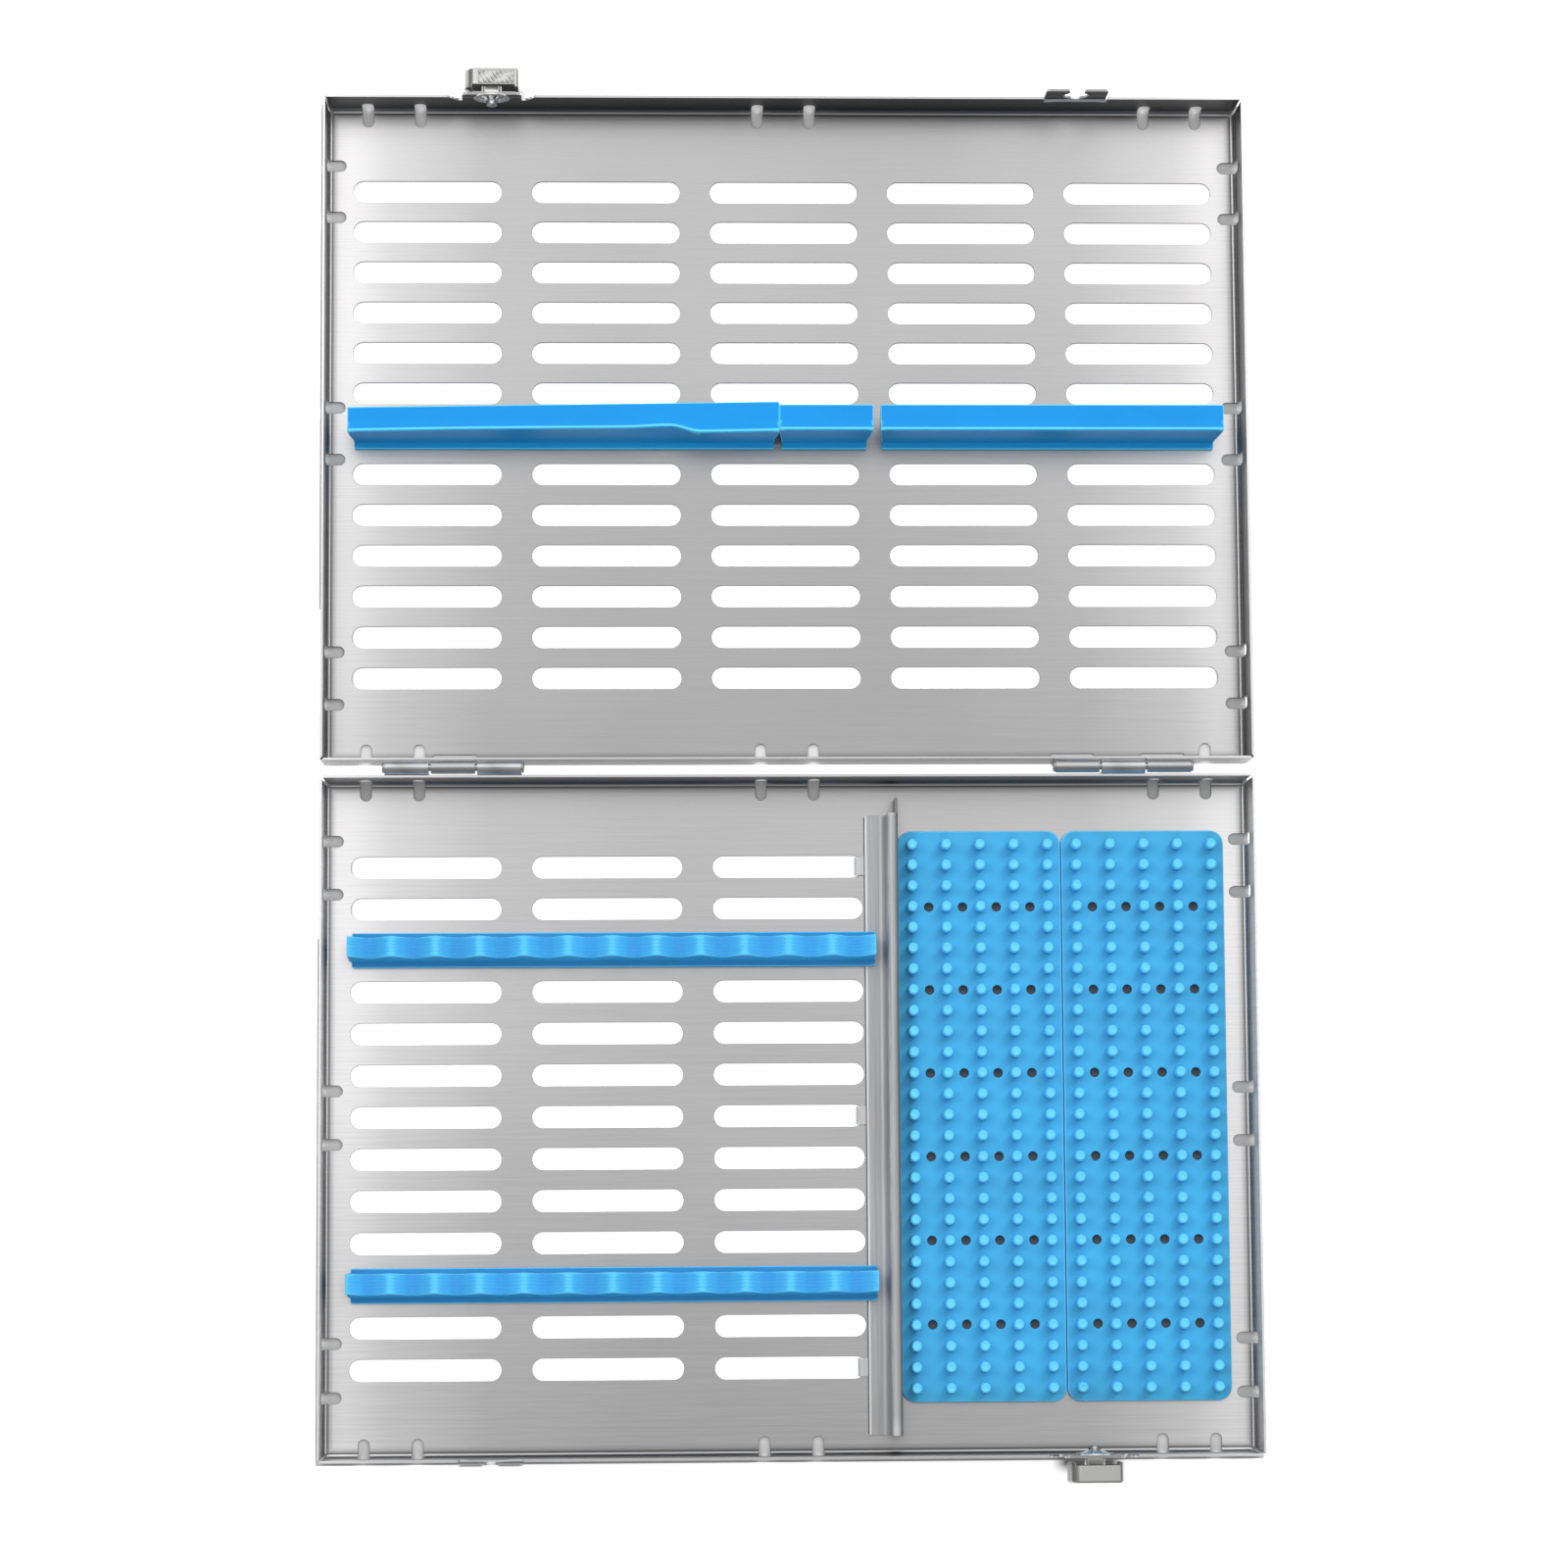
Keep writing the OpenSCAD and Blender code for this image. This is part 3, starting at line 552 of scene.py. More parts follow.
def soften(piece):
    """Smooth shading with normals weighted by area, and a mark on the edges for the materials."""
    mesh, count = piece.data, len(piece.data.vertices)
    corners = read(mesh.loops, "vertex_index", 1, int)
    totals = read(mesh.polygons, "loop_total", 1, int)
    normals, areas = [np.repeat(read(mesh.polygons, name, width), totals, axis=0)
                      for name, width in (("normal", 3), ("area", 1))]
    largest, flat = np.zeros(count), np.zeros((count, 3))
    np.maximum.at(largest, corners, areas)
    top = areas >= largest[corners]
    flat[corners[top]] = normals[top]
    same = np.einsum("ij,ij->i", normals, flat[corners]) > 0.9999
    summed, total, level = np.zeros((count, 3)), np.zeros(count), np.zeros(count)
    np.add.at(summed, corners, normals * areas[:, None])
    np.add.at(total, corners, areas)
    np.add.at(level, corners[same], areas[same])
    lengths = np.linalg.norm(summed, axis=1)
    summed[lengths > 0] /= lengths[lengths > 0, None]
    on_flat = level > 0.7 * total
    summed[on_flat] = flat[on_flat]
    mesh.polygons.foreach_set("use_smooth", [True] * len(mesh.polygons))
    mesh.normals_split_custom_set_from_vertices([tuple(n) for n in summed])
    mesh.update()
    mark_edges(mesh, summed, on_flat)


def dress(piece, material, slot, body, *nodes):
    """Gives a finished piece its material and body, and hides the nodes it stands for; slot is not
    used.
    """
    piece.data.materials.clear()
    piece.data.materials.append(material)
    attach(piece, body)
    if nodes:
        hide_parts(*nodes)
    return piece


# %% Grow a mesh from a tree of geometry nodes
def geometry_tree(name, inputs):
    """An empty tree and its inputs as wires; inputs: the default of each, or else its kind."""
    tree = bpy.data.node_groups.new(name, "GeometryNodeTree")
    for label, default in inputs.items():
        kind = {float: "Float", int: "Int"}.get(type(default), default)
        socket = tree.interface.new_socket(label, in_out="INPUT", socket_type="NodeSocket" + kind)
        if kind != default:
            socket.default_value = default
    tree.interface.new_socket("Geometry", in_out="OUTPUT", socket_type="NodeSocketGeometry")
    entry = tree.nodes.new("NodeGroupInput")
    return tree, {label: Wire(tree, entry.outputs[label]) for label in inputs}


def joined(layers):
    return add(layers[0].tree, "JoinGeometry", {0: layers})


def finish_tree(get, whole):
    """Ends a tree: instances made real, material set, result out."""
    real = add(whole.tree, "RealizeInstances", {0: whole})
    painted = add(whole.tree, "SetMaterial", {"Geometry": real, "Material": get["Material"]})
    add(whole.tree, "NodeGroupOutput", {0: painted})
    return whole.tree


def grow(name, tree, values, start=None):
    """Runs a tree on a new or given object and keeps the result as a plain mesh."""
    piece = start
    if piece is None:
        piece = bpy.data.objects.new(name, bpy.data.meshes.new(name))
        scene.collection.objects.link(piece)
    modifier = piece.modifiers.new(tree.name, "NODES")
    modifier.node_group = tree
    for item in tree.interface.items_tree:
        if item.in_out == "INPUT" and item.name in values:
            modifier[item.identifier] = values[item.name]
    graph = bpy.context.evaluated_depsgraph_get()
    mesh = bpy.data.meshes.new_from_object(piece.evaluated_get(graph), depsgraph=graph)
    piece.modifiers.clear()
    piece.data = mesh
    print(name, "from", tree.name + ":", len(mesh.vertices), "points,", len(mesh.polygons), "faces")
    return piece


# %% [markdown]
# ## Perforated floors
# Each tray's floor has five columns and thirteen rows of long slots with round ends. They repeat,
# so geometry nodes make them: one slot's outline is placed on a grid of points, the plate is
# filled round all of them at once, top and bottom, and a thin rounded rim is swept round each slot.

# %% Steps that the trees share
def round_box(width, height, radius, steps):
    """A rounded rectangle, as a curve."""
    box = add(width.tree, "CurvePrimitiveQuadrilateral", {"Width": width, "Height": height})
    return add(width.tree, "FilletCurve", {
        "Curve": box, "Count": steps, "Radius": radius}, mode="POLY")


def grid_points(columns, rows, pitch_x, pitch_y):
    """Points on a grid about the origin."""
    return add(columns.tree, "MeshGrid", {
        "Size X": (columns - 1.0) * pitch_x, "Size Y": (rows - 1.0) * pitch_y,
        "Vertices X": columns, "Vertices Y": rows})


def placed(points, shape):
    """The same shape at each point."""
    copies = add(points.tree, "InstanceOnPoints", {"Points": points, "Instance": shape})
    return add(points.tree, "RealizeInstances", {0: copies})


def filled(outline, points, hole):
    """A flat face inside an outline, with a hole at each point."""
    lines = joined([outline, placed(points, hole)])
    return add(outline.tree, "FillCurve", {"Curve": lines}, mode="TRIANGLES")


def shape_of(master):
    """The mesh of an object that is given to the tree."""
    info = add(master.tree, "ObjectInfo", {"Object": master}, transform_space="ORIGINAL")
    return info["Geometry"]


def moved_up(shape, height):
    up = add(shape.tree, "ShaderNodeCombineXYZ", {"Z": height})
    return add(shape.tree, "Transform", {"Geometry": shape, "Translation": up})


def edge_band(line, edge, sheet, steps):
    """Sweeps the edge of a sheet along a line. steps: (inwards, from the face) in edge radii."""
    tree, half = line.tree, sheet * 0.5
    rows = [(edge * inwards, half - edge * from_face) for inwards, from_face in steps]
    corners = [(x, y * -1.0) for x, y in rows] + rows[::-1]
    index = add(tree, "InputIndex")
    places = add(tree, "IndexSwitch", {"Index": index}, data_type="VECTOR").socket.node
    while len(places.index_switch_items) < len(corners):
        places.index_switch_items.new()
    for number, (x, y) in enumerate(corners):
        add(tree, "ShaderNodeCombineXYZ", {"X": x, "Y": y}).to(places, number + 1)
    row = add(tree, "MeshLine", {"Count": len(corners)}, mode="OFFSET")
    bent = add(tree, "SetPosition", {"Geometry": row, "Position": Wire(tree, places.outputs[0])})
    profile = add(tree, "MeshToCurve", {"Mesh": bent})
    upright = add(tree, "SetCurveNormal", {"Curve": line}, mode="Z_UP")
    return add(tree, "CurveToMesh", {"Curve": upright, "Profile Curve": profile})


# %% The tree for a perforated plate
def perforated_plate_tree():
    tree, get = geometry_tree("perforated_plate", {
        "Width": 0.26, "Depth": 0.18, "Sheet": 0.0008, "Edge": 0.0001, "Columns": 5, "Rows": 13,
        "Pitch X": 0.0544, "Pitch Y": 0.0125, "Slot Length": 0.0452, "Slot Width": 0.0066,
        "Corner Steps": 8, "Material": "Material"})

    def slot(grow_by):
        high = get["Slot Width"] + grow_by
        return round_box(get["Slot Length"] + grow_by, high, high * 0.49, get["Corner Steps"])

    points = grid_points(get["Columns"], get["Rows"], get["Pitch X"], get["Pitch Y"])
    plate = add(tree, "CurvePrimitiveQuadrilateral", {
        "Width": get["Width"], "Height": get["Depth"]})
    below = filled(plate, points, slot(get["Edge"] * 2.0))
    rim = edge_band(slot(0.0), get["Edge"], get["Sheet"], ((1.0, 0.0), (0.3, 0.3), (0.0, 1.0)))
    rims = moved_up(placed(points, rim), get["Sheet"] * 0.5)
    return finish_tree(get, joined([below, moved_up(below, get["Sheet"]), rims]))


plate_tree = perforated_plate_tree()
FIELD_W, FIELD_D = 264.6, 188.0
SHEET, EDGE = 0.8, 0.1
plate_values = {
    "Width": FIELD_W * MM, "Depth": FIELD_D * MM, "Sheet": SHEET * MM, "Edge": EDGE * MM,
    "Columns": 5, "Rows": 13, "Pitch X": 54.4 * MM, "Pitch Y": 12.5 * MM,
    "Slot Length": 45.2 * MM, "Slot Width": 6.6 * MM, "Corner Steps": 8, "Material": tray_paint}
print("plate tree:", len(plate_tree.nodes), "nodes")

# %% [markdown]
# ## Folded trays
# A real tray starts as one flat blank. Its outline, drain slots, hinge windows and the cut-outs of
# the latch wall are punched first, and then the four walls are folded up. The mesh takes the same
# way: the blank is drawn as closed loops, filled, cut along the bend lines, and folded by a formula
# that rolls each wall round its bend. The outside face is the one that keeps its length.

# %% Sizes of a tray
TRAY_W, TRAY_D, RIM_Z = 280.0, 203.0, 15.85
BEND = 2.0
ARC = BEND * math.pi / 2
SEAM = 0.6 / math.sqrt(2)
TRAY_Y = 103.75
LATCH_X, LATCH_Z = 88.9, 16.0
DIP_W, DIP_Z, TONGUE_W, TONGUE_Z = 25.5, 12.0, 18.0, 19.0
CATCH_W, CATCH_Z, STEP_Z, STEP_OUT = 18.9, 21.3, 12.05, 1.0
DRAIN_W, DRAIN_IN, DRAIN_Z = 3.4, 6.3, 7.5
LONG_DRAINS = [c * 119 + s * 8 for c in (-1, 0, 1) for s in (-1, 1)]
SIDE_DRAINS = [c * 75 + s * 8 for c in (-1, 0, 1) for s in (-1, 1)]
LID_WINDOWS = [-100.3, 86.5, 114.1]
WINDOW_LEN, WINDOW_IN, WINDOW_Z = 13.0, 3.2, 1.6
WALL_WAYS = [(1, 0), (0, 1), (-1, 0), (0, -1)]


def ease(x):
    """A smooth step from 0 to 1."""
    x = np.clip(x, 0, 1)
    return x * x * (3 - 2 * x)


def reach_of(wall):
    """Distance of a wall's outside face from the tray's centre: front, right, rear, left."""
    return TRAY_D / 2 if wall % 2 == 0 else TRAY_W / 2


def along(z):
    """Length on the blank from the start of the bend up to a height on a wall."""
    if z >= BEND:
        return z - BEND + ARC
    return BEND * math.acos(1 - z / BEND)


def arc_points(centre, radius, start, end, steps=6):
    """Points on an arc, in degrees."""
    turns = [math.radians(start + (end - start) * k / steps) for k in range(steps + 1)]
    return [(centre[0] + radius * math.cos(t), centre[1] + radius * math.sin(t)) for t in turns]


def from_wall(wall, points):
    """Turns points (along the wall, outwards from the bend's start) into blank coordinates."""
    edge = reach_of(wall) - BEND
    c, s = WALL_WAYS[wall]
    return [(c * a + s * (edge + t), s * a - c * (edge + t)) for a, t in points]


# %% Outline of the blank
def mirrored(left, x):
    """Points from left to right: the given left side, and its mirror image about x."""
    return left + [(2 * x - a, t) for a, t in reversed(left)]


def dip_and_tongue(x):
    """Rim from left to right past the knob: two scoops, and the tongue between them."""
    half, top, r = TONGUE_W / 2, along(TONGUE_Z), 1.5
    rim, low = along(RIM_Z), along(DIP_Z)
    left = [(x - DIP_W / 2 - 0.9 + (DIP_W / 2 - half) * k / 12, rim + (low - rim) * ease(k / 12))
            for k in range(13)]
    left += [(x - half, low), (x - half, top - r)]
    left += arc_points((x - half + r, top - r), r, 180, 90)[1:]
    return mirrored(left, x)


def catch_ears(x):
    """Rim from left to right past the catch: two ears round a keyhole, beside thin slits."""
    slit, r, mouth = 0.2, 0.9, 2.2
    rim, low, top = along(RIM_Z), along(STEP_Z), along(CATCH_Z)
    half, seat_r, seat_x, seat_t = CATCH_W / 2, 3.3, 0.4, along(LATCH_Z)
    bite = math.degrees(math.acos((mouth - seat_x) / seat_r))
    left = [(x - half - slit, rim), (x - half - slit, low), (x - half, low), (x - half, top - r)]
    left += arc_points((x - half + r, top - r), r, 180, 90)[1:]
    left += arc_points((x - mouth - 0.5, top - 0.5), 0.5, 90, 0, 3)
    left += arc_points((x - seat_x, seat_t), seat_r, 180 - bite, 270, 10)
    return mirrored(left, x)


def blank_outline():
    loop = []
    for wall in range(4):
        half = reach_of(wall + 1) - SEAM
        ends = [(half - BEND + BEND * math.sin(k * math.pi / 12), ARC * k / 6) for k in range(7)]
        ends.append((half, along(RIM_Z)))
        features = [] if wall else catch_ears(-LATCH_X) + dip_and_tongue(LATCH_X)
        loop += from_wall(wall, [(-a, t) for a, t in ends] + features + ends[::-1])
    return loop


# %% Holes of the blank
def rounded_box(a0, a1, t0, t1, radius, steps=6):
    """A box with round corners, counter-clockwise."""
    corners = [(a1 - radius, t0 + radius, -90), (a1 - radius, t1 - radius, 0),
               (a0 + radius, t1 - radius, 90), (a0 + radius, t0 + radius, 180)]
    points = []
    for a, t, start in corners:
        points += arc_points((a, t), radius, start, start + 90, steps)
    return points


def blank_holes(windows):
    """Drain slots, hinge windows and the shaft's hole, each clockwise."""
    holes, r = [], DRAIN_W / 2
    for wall in range(4):
        for a in SIDE_DRAINS if wall % 2 else LONG_DRAINS:
            near = [w for w in windows if abs(w - a) < (WINDOW_LEN + DRAIN_W) / 2]
            if wall == 2 and near:
                continue
            box = rounded_box(a - r, a + r, BEND - DRAIN_IN, along(DRAIN_Z), r - 0.02)
            holes.append(from_wall(wall, box))
    for w in windows:
        left, right = w - WINDOW_LEN / 2, w + WINDOW_LEN / 2
        box = rounded_box(left, right, BEND - WINDOW_IN, along(WINDOW_Z), 0.35, 3)
        holes.append(from_wall(2, box))
    holes.append(from_wall(0, arc_points((LATCH_X, along(LATCH_Z)), 1.88, 0, 345, 23)))
    return [clockwise(hole) for hole in holes]


def clockwise(points):
    """The same loop, turned so that the sheet lies on its left."""
    area = sum(a[0] * b[1] - b[0] * a[1] for a, b in zip(points, points[1:] + points[:1]))
    return points[::-1] if area > 0 else points


# %% Fill the blank and give it rounded edges
EDGE_STEPS = [(EDGE, 0.0), (0.3 * EDGE, 0.3 * EDGE), (0.0, EDGE), (0.0, SHEET - EDGE),
              (0.3 * EDGE, SHEET - 0.3 * EDGE), (EDGE, SHEET)]


def inset(loop, distance):
    """Moves a loop towards its left side, where the sheet is, with mitred corners."""
    p = np.array(loop)
    ahead = np.roll(p, -1, 0) - p
    ahead /= np.linalg.norm(ahead, axis=1)[:, None]
    behind = np.roll(ahead, 1, 0)
    left = np.stack([-ahead[:, 1] - behind[:, 1], ahead[:, 0] + behind[:, 0]], 1)
    left /= np.linalg.norm(left, axis=1)[:, None]
    stretch = 1 / np.maximum(0.5, np.abs(left[:, 0] * -ahead[:, 1] + left[:, 1] * ahead[:, 0]))
    return p + left * (distance * stretch)[:, None]


def inside(points, loops):
    """Even-odd test of many points against all loops together."""
    result = np.zeros(len(points), bool)
    for loop in loops:
        a = np.array(loop)
        b = np.roll(a, -1, 0)
        for (ax, ay), (bx, by) in zip(a, b):
            crosses = (ay > points[:, 1]) != (by > points[:, 1])
            if ay != by:
                where = ax + (points[:, 1] - ay) * (bx - ax) / (by - ay)
                result ^= crosses & (points[:, 0] < where)
    return result


def without_doubles(loop):
    """Drops points that repeat the one before."""
    return [p for p, q in zip(loop, loop[-1:] + loop[:-1]) if math.dist(p, q) > 0.002]


def flat_sheet(loops, field=None):
    """Points and faces of a closed flat sheet with rounded edges; field is a box left empty."""
    loops = [without_doubles(loop) for loop in loops]
    fills = [inset(loop, EDGE) for loop in loops]
    if field:
        w, d = field[0] / 2, field[1] / 2
        fills.append(np.array([(-w, -d), (-w, d), (w, d), (w, -d)]))
    spots, edges = [], []
    for loop in fills:
        first = len(spots)
        spots += [Vector(p) for p in loop]
        edges += [(first + k, first + (k + 1) % len(loop)) for k in range(len(loop))]
    co, _, triangles, *_ = delaunay_2d_cdt(spots, edges, [], 0, 1e-5)
    co = np.array([tuple(c) for c in co])
    triangles = np.array([t for t in triangles if len(t) == 3])
    triangles = triangles[inside(co[triangles].mean(1), fills)]
    points = [(x, y, 0.0) for x, y in co] + [(x, y, SHEET) for x, y in co]
    n = len(co)
    faces = [list(t[::-1]) for t in triangles] + [[i + n for i in t] for t in triangles]
    for loop in loops:
        first = len(points)
        m = len(loop)
        for inward, height in EDGE_STEPS:
            points += [(x, y, height) for x, y in inset(loop, inward)]
        for ring in range(len(EDGE_STEPS) - 1):
            low, high = first + ring * m, first + (ring + 1) * m
            for k in range(m):
                j = (k + 1) % m
                faces.append([low + k, low + j, high + j, high + k])
    return points, faces


# %% Cut along the bends, and fold
def cut_rows(piece, rows):
    """Cuts a flat mesh along lines; each row is a point and a direction across the line."""
    with edited(piece) as bm:
        for place, across in rows:
            whole = bm.verts[:] + bm.edges[:] + bm.faces[:]
            bmesh.ops.bisect_plane(bm, geom=whole, dist=1e-8, plane_co=Vector((*place, 0)) * MM,
                                   plane_no=Vector((*across, 0)))


def keep_blank_map(piece):
    """Stores the flat position of every corner as the UV map called blank, in metres."""
    corners = read(piece.data.loops, "vertex_index", 1, int)
    flat = read(piece.data.vertices, "co", 3)[corners, :2].ravel()
    piece.data.uv_layers.new(name="blank").data.foreach_set("uv", flat)


def fold(co):
    """Folds blank points (n, 3), in millimetres, into the standing tray."""
    out = co.copy()
    for wall, (c, s) in enumerate(WALL_WAYS):
        a = c * co[:, 0] + s * co[:, 1]
        t = s * co[:, 0] - c * co[:, 1] - (reach_of(wall) - BEND)
        half = reach_of(wall + 1) - SEAM
        mine = (t > 1e-4) & (np.abs(a) < half + 0.01)
        a, t, d = a[mine], t[mine], co[mine, 2]
        angle = np.clip(t / BEND, 0, math.pi / 2)
        inwards = BEND - (BEND - d) * np.sin(angle)
        z = BEND - (BEND - d) * np.cos(angle) + np.maximum(0, t - ARC)
        a = a - np.sign(a) * d * np.sin(angle) * ease((np.abs(a) - half + 6) / 6)
        if wall == 0:
            ears = np.abs(a + LATCH_X) < CATCH_W / 2 + 0.05
            inwards = inwards - STEP_OUT * ears * ease((z - STEP_Z) / 0.8)
        edge = reach_of(wall) - inwards
        out[mine] = np.stack([c * a + s * edge, s * a - c * edge, z], 1)
    return out


def tray(name, windows):
    """One folded tray about its own centre."""
    loops = [blank_outline()] + blank_holes(windows)
    piece = make_mesh(name, *flat_sheet(loops, (FIELD_W, FIELD_D)))
    rows = []
    for wall, (c, s) in enumerate(WALL_WAYS):
        heights = [ARC * k / 8 for k in range(9)]
        if wall == 0:
            heights += [along(STEP_Z + 0.2 * k) for k in range(5)]
        rows += [(from_wall(wall, [(0, t)])[0], (s, -c)) for t in heights]
    weld(piece)
    cut_rows(piece, rows)
    join_all(name, [piece, grow(name + "_field", plate_tree, plate_values)])
    print(name, "open edges:", weld(piece), "faces:", len(piece.data.polygons))
    keep_blank_map(piece)
    move_points(piece, fold)
    return piece


def settle(piece, half):
    """Moves a piece drawn about a tray's centre to its half: the lid's is turned round."""
    lid = moved(0, TRAY_Y, 0) @ turned_about("Z", 180)
    piece.data.transform(lid if half == "lid" else moved(0, -TRAY_Y, 0))
    return piece


sheets = [(half, settle(tray(half + "_sheet", windows), half))
          for half, windows in (("base", []), ("lid", LID_WINDOWS))]
for half, piece in sheets:
    soften(piece)
    dress(piece, tray_paint, "tray_steel", half, half + "_tray")

# %% [markdown]
# ## Silicone
# The strips and mats are moulded from blue silicone. It is coloured through and lets a little
# light in; thin edges get a painted highlight for this, paler than the body, and the tone changes
# with height, partly as painted shade and light. The surface is satin, with slow changes of tone
# where it has been handled, and a fine mould texture.

# %% Blue silicone
def silicone(name, heights, pale, rough=0.45):
    """Silicone whose tone changes with height, partly as painted shade and light: [(height in mm,
    colour)], with a painted highlight, pale, on thin edges.
    """
    material, tree, shader = principled(name, {
        "Subsurface Weight": 0.10, "Subsurface Scale": 0.0012, "Subsurface Radius": (0.4, 0.9, 1.0),
        "IOR": 1.41, "Specular IOR Level": 0.32})
    cloud = noise(tree, (38, 60, 60), detail=3.0)
    handled = ramp(cloud, [(0.3, 0.90), (0.7, 1.0)])
    soft = add(tree, "HueSaturation", {"Color": by_height(tree, heights), "Value": handled})
    mix_colours(edge_share(tree, 0.09), soft, pale).to(shader, "Base Color")
    ramp(cloud, [(0.3, rough - 0.05), (0.7, rough + 0.06)]).to(shader, "Roughness")
    bump(shader, noise(tree, (2600, 2600, 2600), detail=1.0), 0.12, 0.00005)
    return material


# Painted shade on the foot and in the valleys and painted light on the crests, over the strip's own
# blue
strip_blue = silicone("strip_blue", [
    (3.0, (0.03, 0.29, 0.62)), (3.6, (0.03, 0.38, 0.80)), (7.7, (0.03, 0.38, 0.80)),
    (8.3, (0.045, 0.33, 0.74)), (9.3, (0.065, 0.44, 0.88)), (10.6, (0.075, 0.49, 0.94)),
    (11.9, (0.08, 0.52, 0.97))], (0.11, 0.58, 1.0))
# Painted shade on the body and front face and a painted highlight at the top edge, over the strip's
# own blue
lid_blue = silicone("lid_blue", [
    (2.6, (0.014, 0.40, 0.82)), (3.6, (0.010, 0.27, 0.66)), (17.5, (0.010, 0.27, 0.66)),
    (18.9, (0.006, 0.31, 0.80)), (19.48, (0.006, 0.31, 0.80)), (19.62, (0.13, 0.70, 1.0))],
    (0.13, 0.70, 1.0))
# Pins painted paler towards their tips: painted light over the mat's own blue
mat_blue = silicone("mat_blue", [
    (2.9, (0.062, 0.43, 0.74)), (6.0, (0.085, 0.54, 0.90)), (7.6, (0.15, 0.68, 1.0))],
    (0.14, 0.62, 1.0), 0.5)
print("silicones:", strip_blue.name, lid_blue.name, mat_blue.name)

# %% [markdown]
# ## Instrument strips of the base
# Each strip has a square foot, pushed over a rail, and a narrower body whose top rises and falls
# in an even wave, with an instrument lying in each valley. A straight body is lofted first: one
# section, with shallow grooves along its top, repeated at close stations. Then a tree of geometry
# nodes presses the wave into it, deepest at the top and nothing at the foot.

# %% Sections and stations of a straight loft
def rounded_section(corners):
    """A closed section from (y, z, radius) corners, each rounded by a short arc."""
    points = []
    n = len(corners)
    for k, (y, z, radius) in enumerate(corners):
        here = Vector((y, z))
        before = Vector(corners[k - 1][:2]) - here
        after = Vector(corners[(k + 1) % n][:2]) - here
        if radius == 0:
            points.append((y, z))
            continue
        reach = min(radius, before.length * 0.45, after.length * 0.45)
        a, b = here + before.normalized() * reach, here + after.normalized() * reach
        for part in (0.0, 0.25, 0.5, 0.75, 1.0):
            p = a * (1 - part) ** 2 + here * (2 * part * (1 - part)) + b * part ** 2
            points.append((p.x, p.y))
    return points


def end_stations(start, end, step, edge=0.35):
    """Stations from start to end, closer at the ends, with how far the section draws in there."""
    count = max(2, round((end - start) / step))
    middle = [start + edge + (end - start - 2 * edge) * k / count for k in range(count + 1)]
    near = [(0.0, edge), (0.1 * edge, 0.55 * edge), (0.4 * edge, 0.15 * edge)]
    first = [(start + a, b) for a, b in near]
    last = [(end - a, b) for a, b in reversed(near)]
    return first + [(x, 0.0) for x in middle] + last


# %% The strip's body before the wave
STRIP_X0, STRIP_X1, STRIP_TOP, FOOT_T = -132.0, 26.0, 12.0, 2.2
FOOT_HALF, BODY_HALF = 5.2, 3.1
VALLEY_PITCH, VALLEY_DEPTH = 13.17, 3.7
FIRST_VALLEY = STRIP_X0 + (158 - 11 * VALLEY_PITCH) / 2
GROOVES = (-1.55, -0.5, 0.5, 1.55)
BODY_LEAN = 0.7
LEFT_ROUND, LEFT_CUT, FLANGE_FROM = 3.0, 1.3, 22.8


def base_strip_section(draw_in):
    """Section of a base strip; draw_in makes it smaller for the rounded ends."""
    foot, body, top = FOOT_HALF - draw_in, BODY_HALF - draw_in, STRIP_TOP - draw_in
    low, foot_top = SHEET + 0.02 + draw_in, SHEET + FOOT_T - draw_in * 0.3
    corners = [(-foot, low, 0.3), (foot, low, 0.3), (foot, foot_top, 0.35),
               (body + 0.25, foot_top, 0.5), (body, top - 2.5, 0.8), (body, top, 0.75)]
    for groove in reversed(GROOVES):
        g = groove * body / BODY_HALF
        corners += [(g + 0.28, top, 0.1), (g, top - 0.14, 0.1), (g - 0.28, top, 0.1)]
    corners += [(-body, top, 0.75), (-body, top - 2.5, 0.8), (-body - 0.25, foot_top, 0.5),
                (-foot, foot_top, 0.35)]
    return rounded_section(corners)


def straight_strip(name, row_y):
    """The strip before its wave: its foot starts later, and rises over the divider's flange."""
    rings = []
    for x, draw_in in end_stations(STRIP_X0, STRIP_X1, 0.85):
        lowest = SHEET * 2 + 0.03 if x > FLANGE_FROM else 0.0
        near_end = float(ease(1 - (x - STRIP_X0) / LEFT_ROUND))
        rings.append([(x + LEFT_CUT * float(ease((SHEET + FOOT_T + 0.8 - z) / 1.2)) * near_end,
                       row_y + y + BODY_LEAN * float(ease((z - SHEET - FOOT_T) / 5.0)),
                       max(z, lowest)) for y, z in base_strip_section(draw_in)])
    return skin(name, rings)


# %% The wave, as geometry nodes
def wave_tree():
    tree, get = geometry_tree("pressed_wave", {
        "Body": "Geometry", "Pitch": 0.013, "Depth": 0.0037, "First Valley": 0.0, "Foot": 0.003,
        "Top": 0.012, "Lean": 0.0003, "Material": "Material"})
    place = add(tree, "ShaderNodeSeparateXYZ", {0: add(tree, "InputPosition")})
    phase = (place["X"] - get["First Valley"]) / get["Pitch"] * math.tau
    deep = ((phase.math("COSINE") + 1.0) * 0.5).math("POWER", 0.8)
    height = add(tree, "ShaderNodeMapRange", {"Value": place["Z"], "From Min": get["Foot"],
                                              "From Max": get["Top"]})
    back = deep * height * -1.0
    shift = add(tree, "ShaderNodeCombineXYZ", {"Y": back * get["Lean"], "Z": back * get["Depth"]})
    return finish_tree(get, add(tree, "SetPosition", {"Geometry": get["Body"], "Offset": shift}))


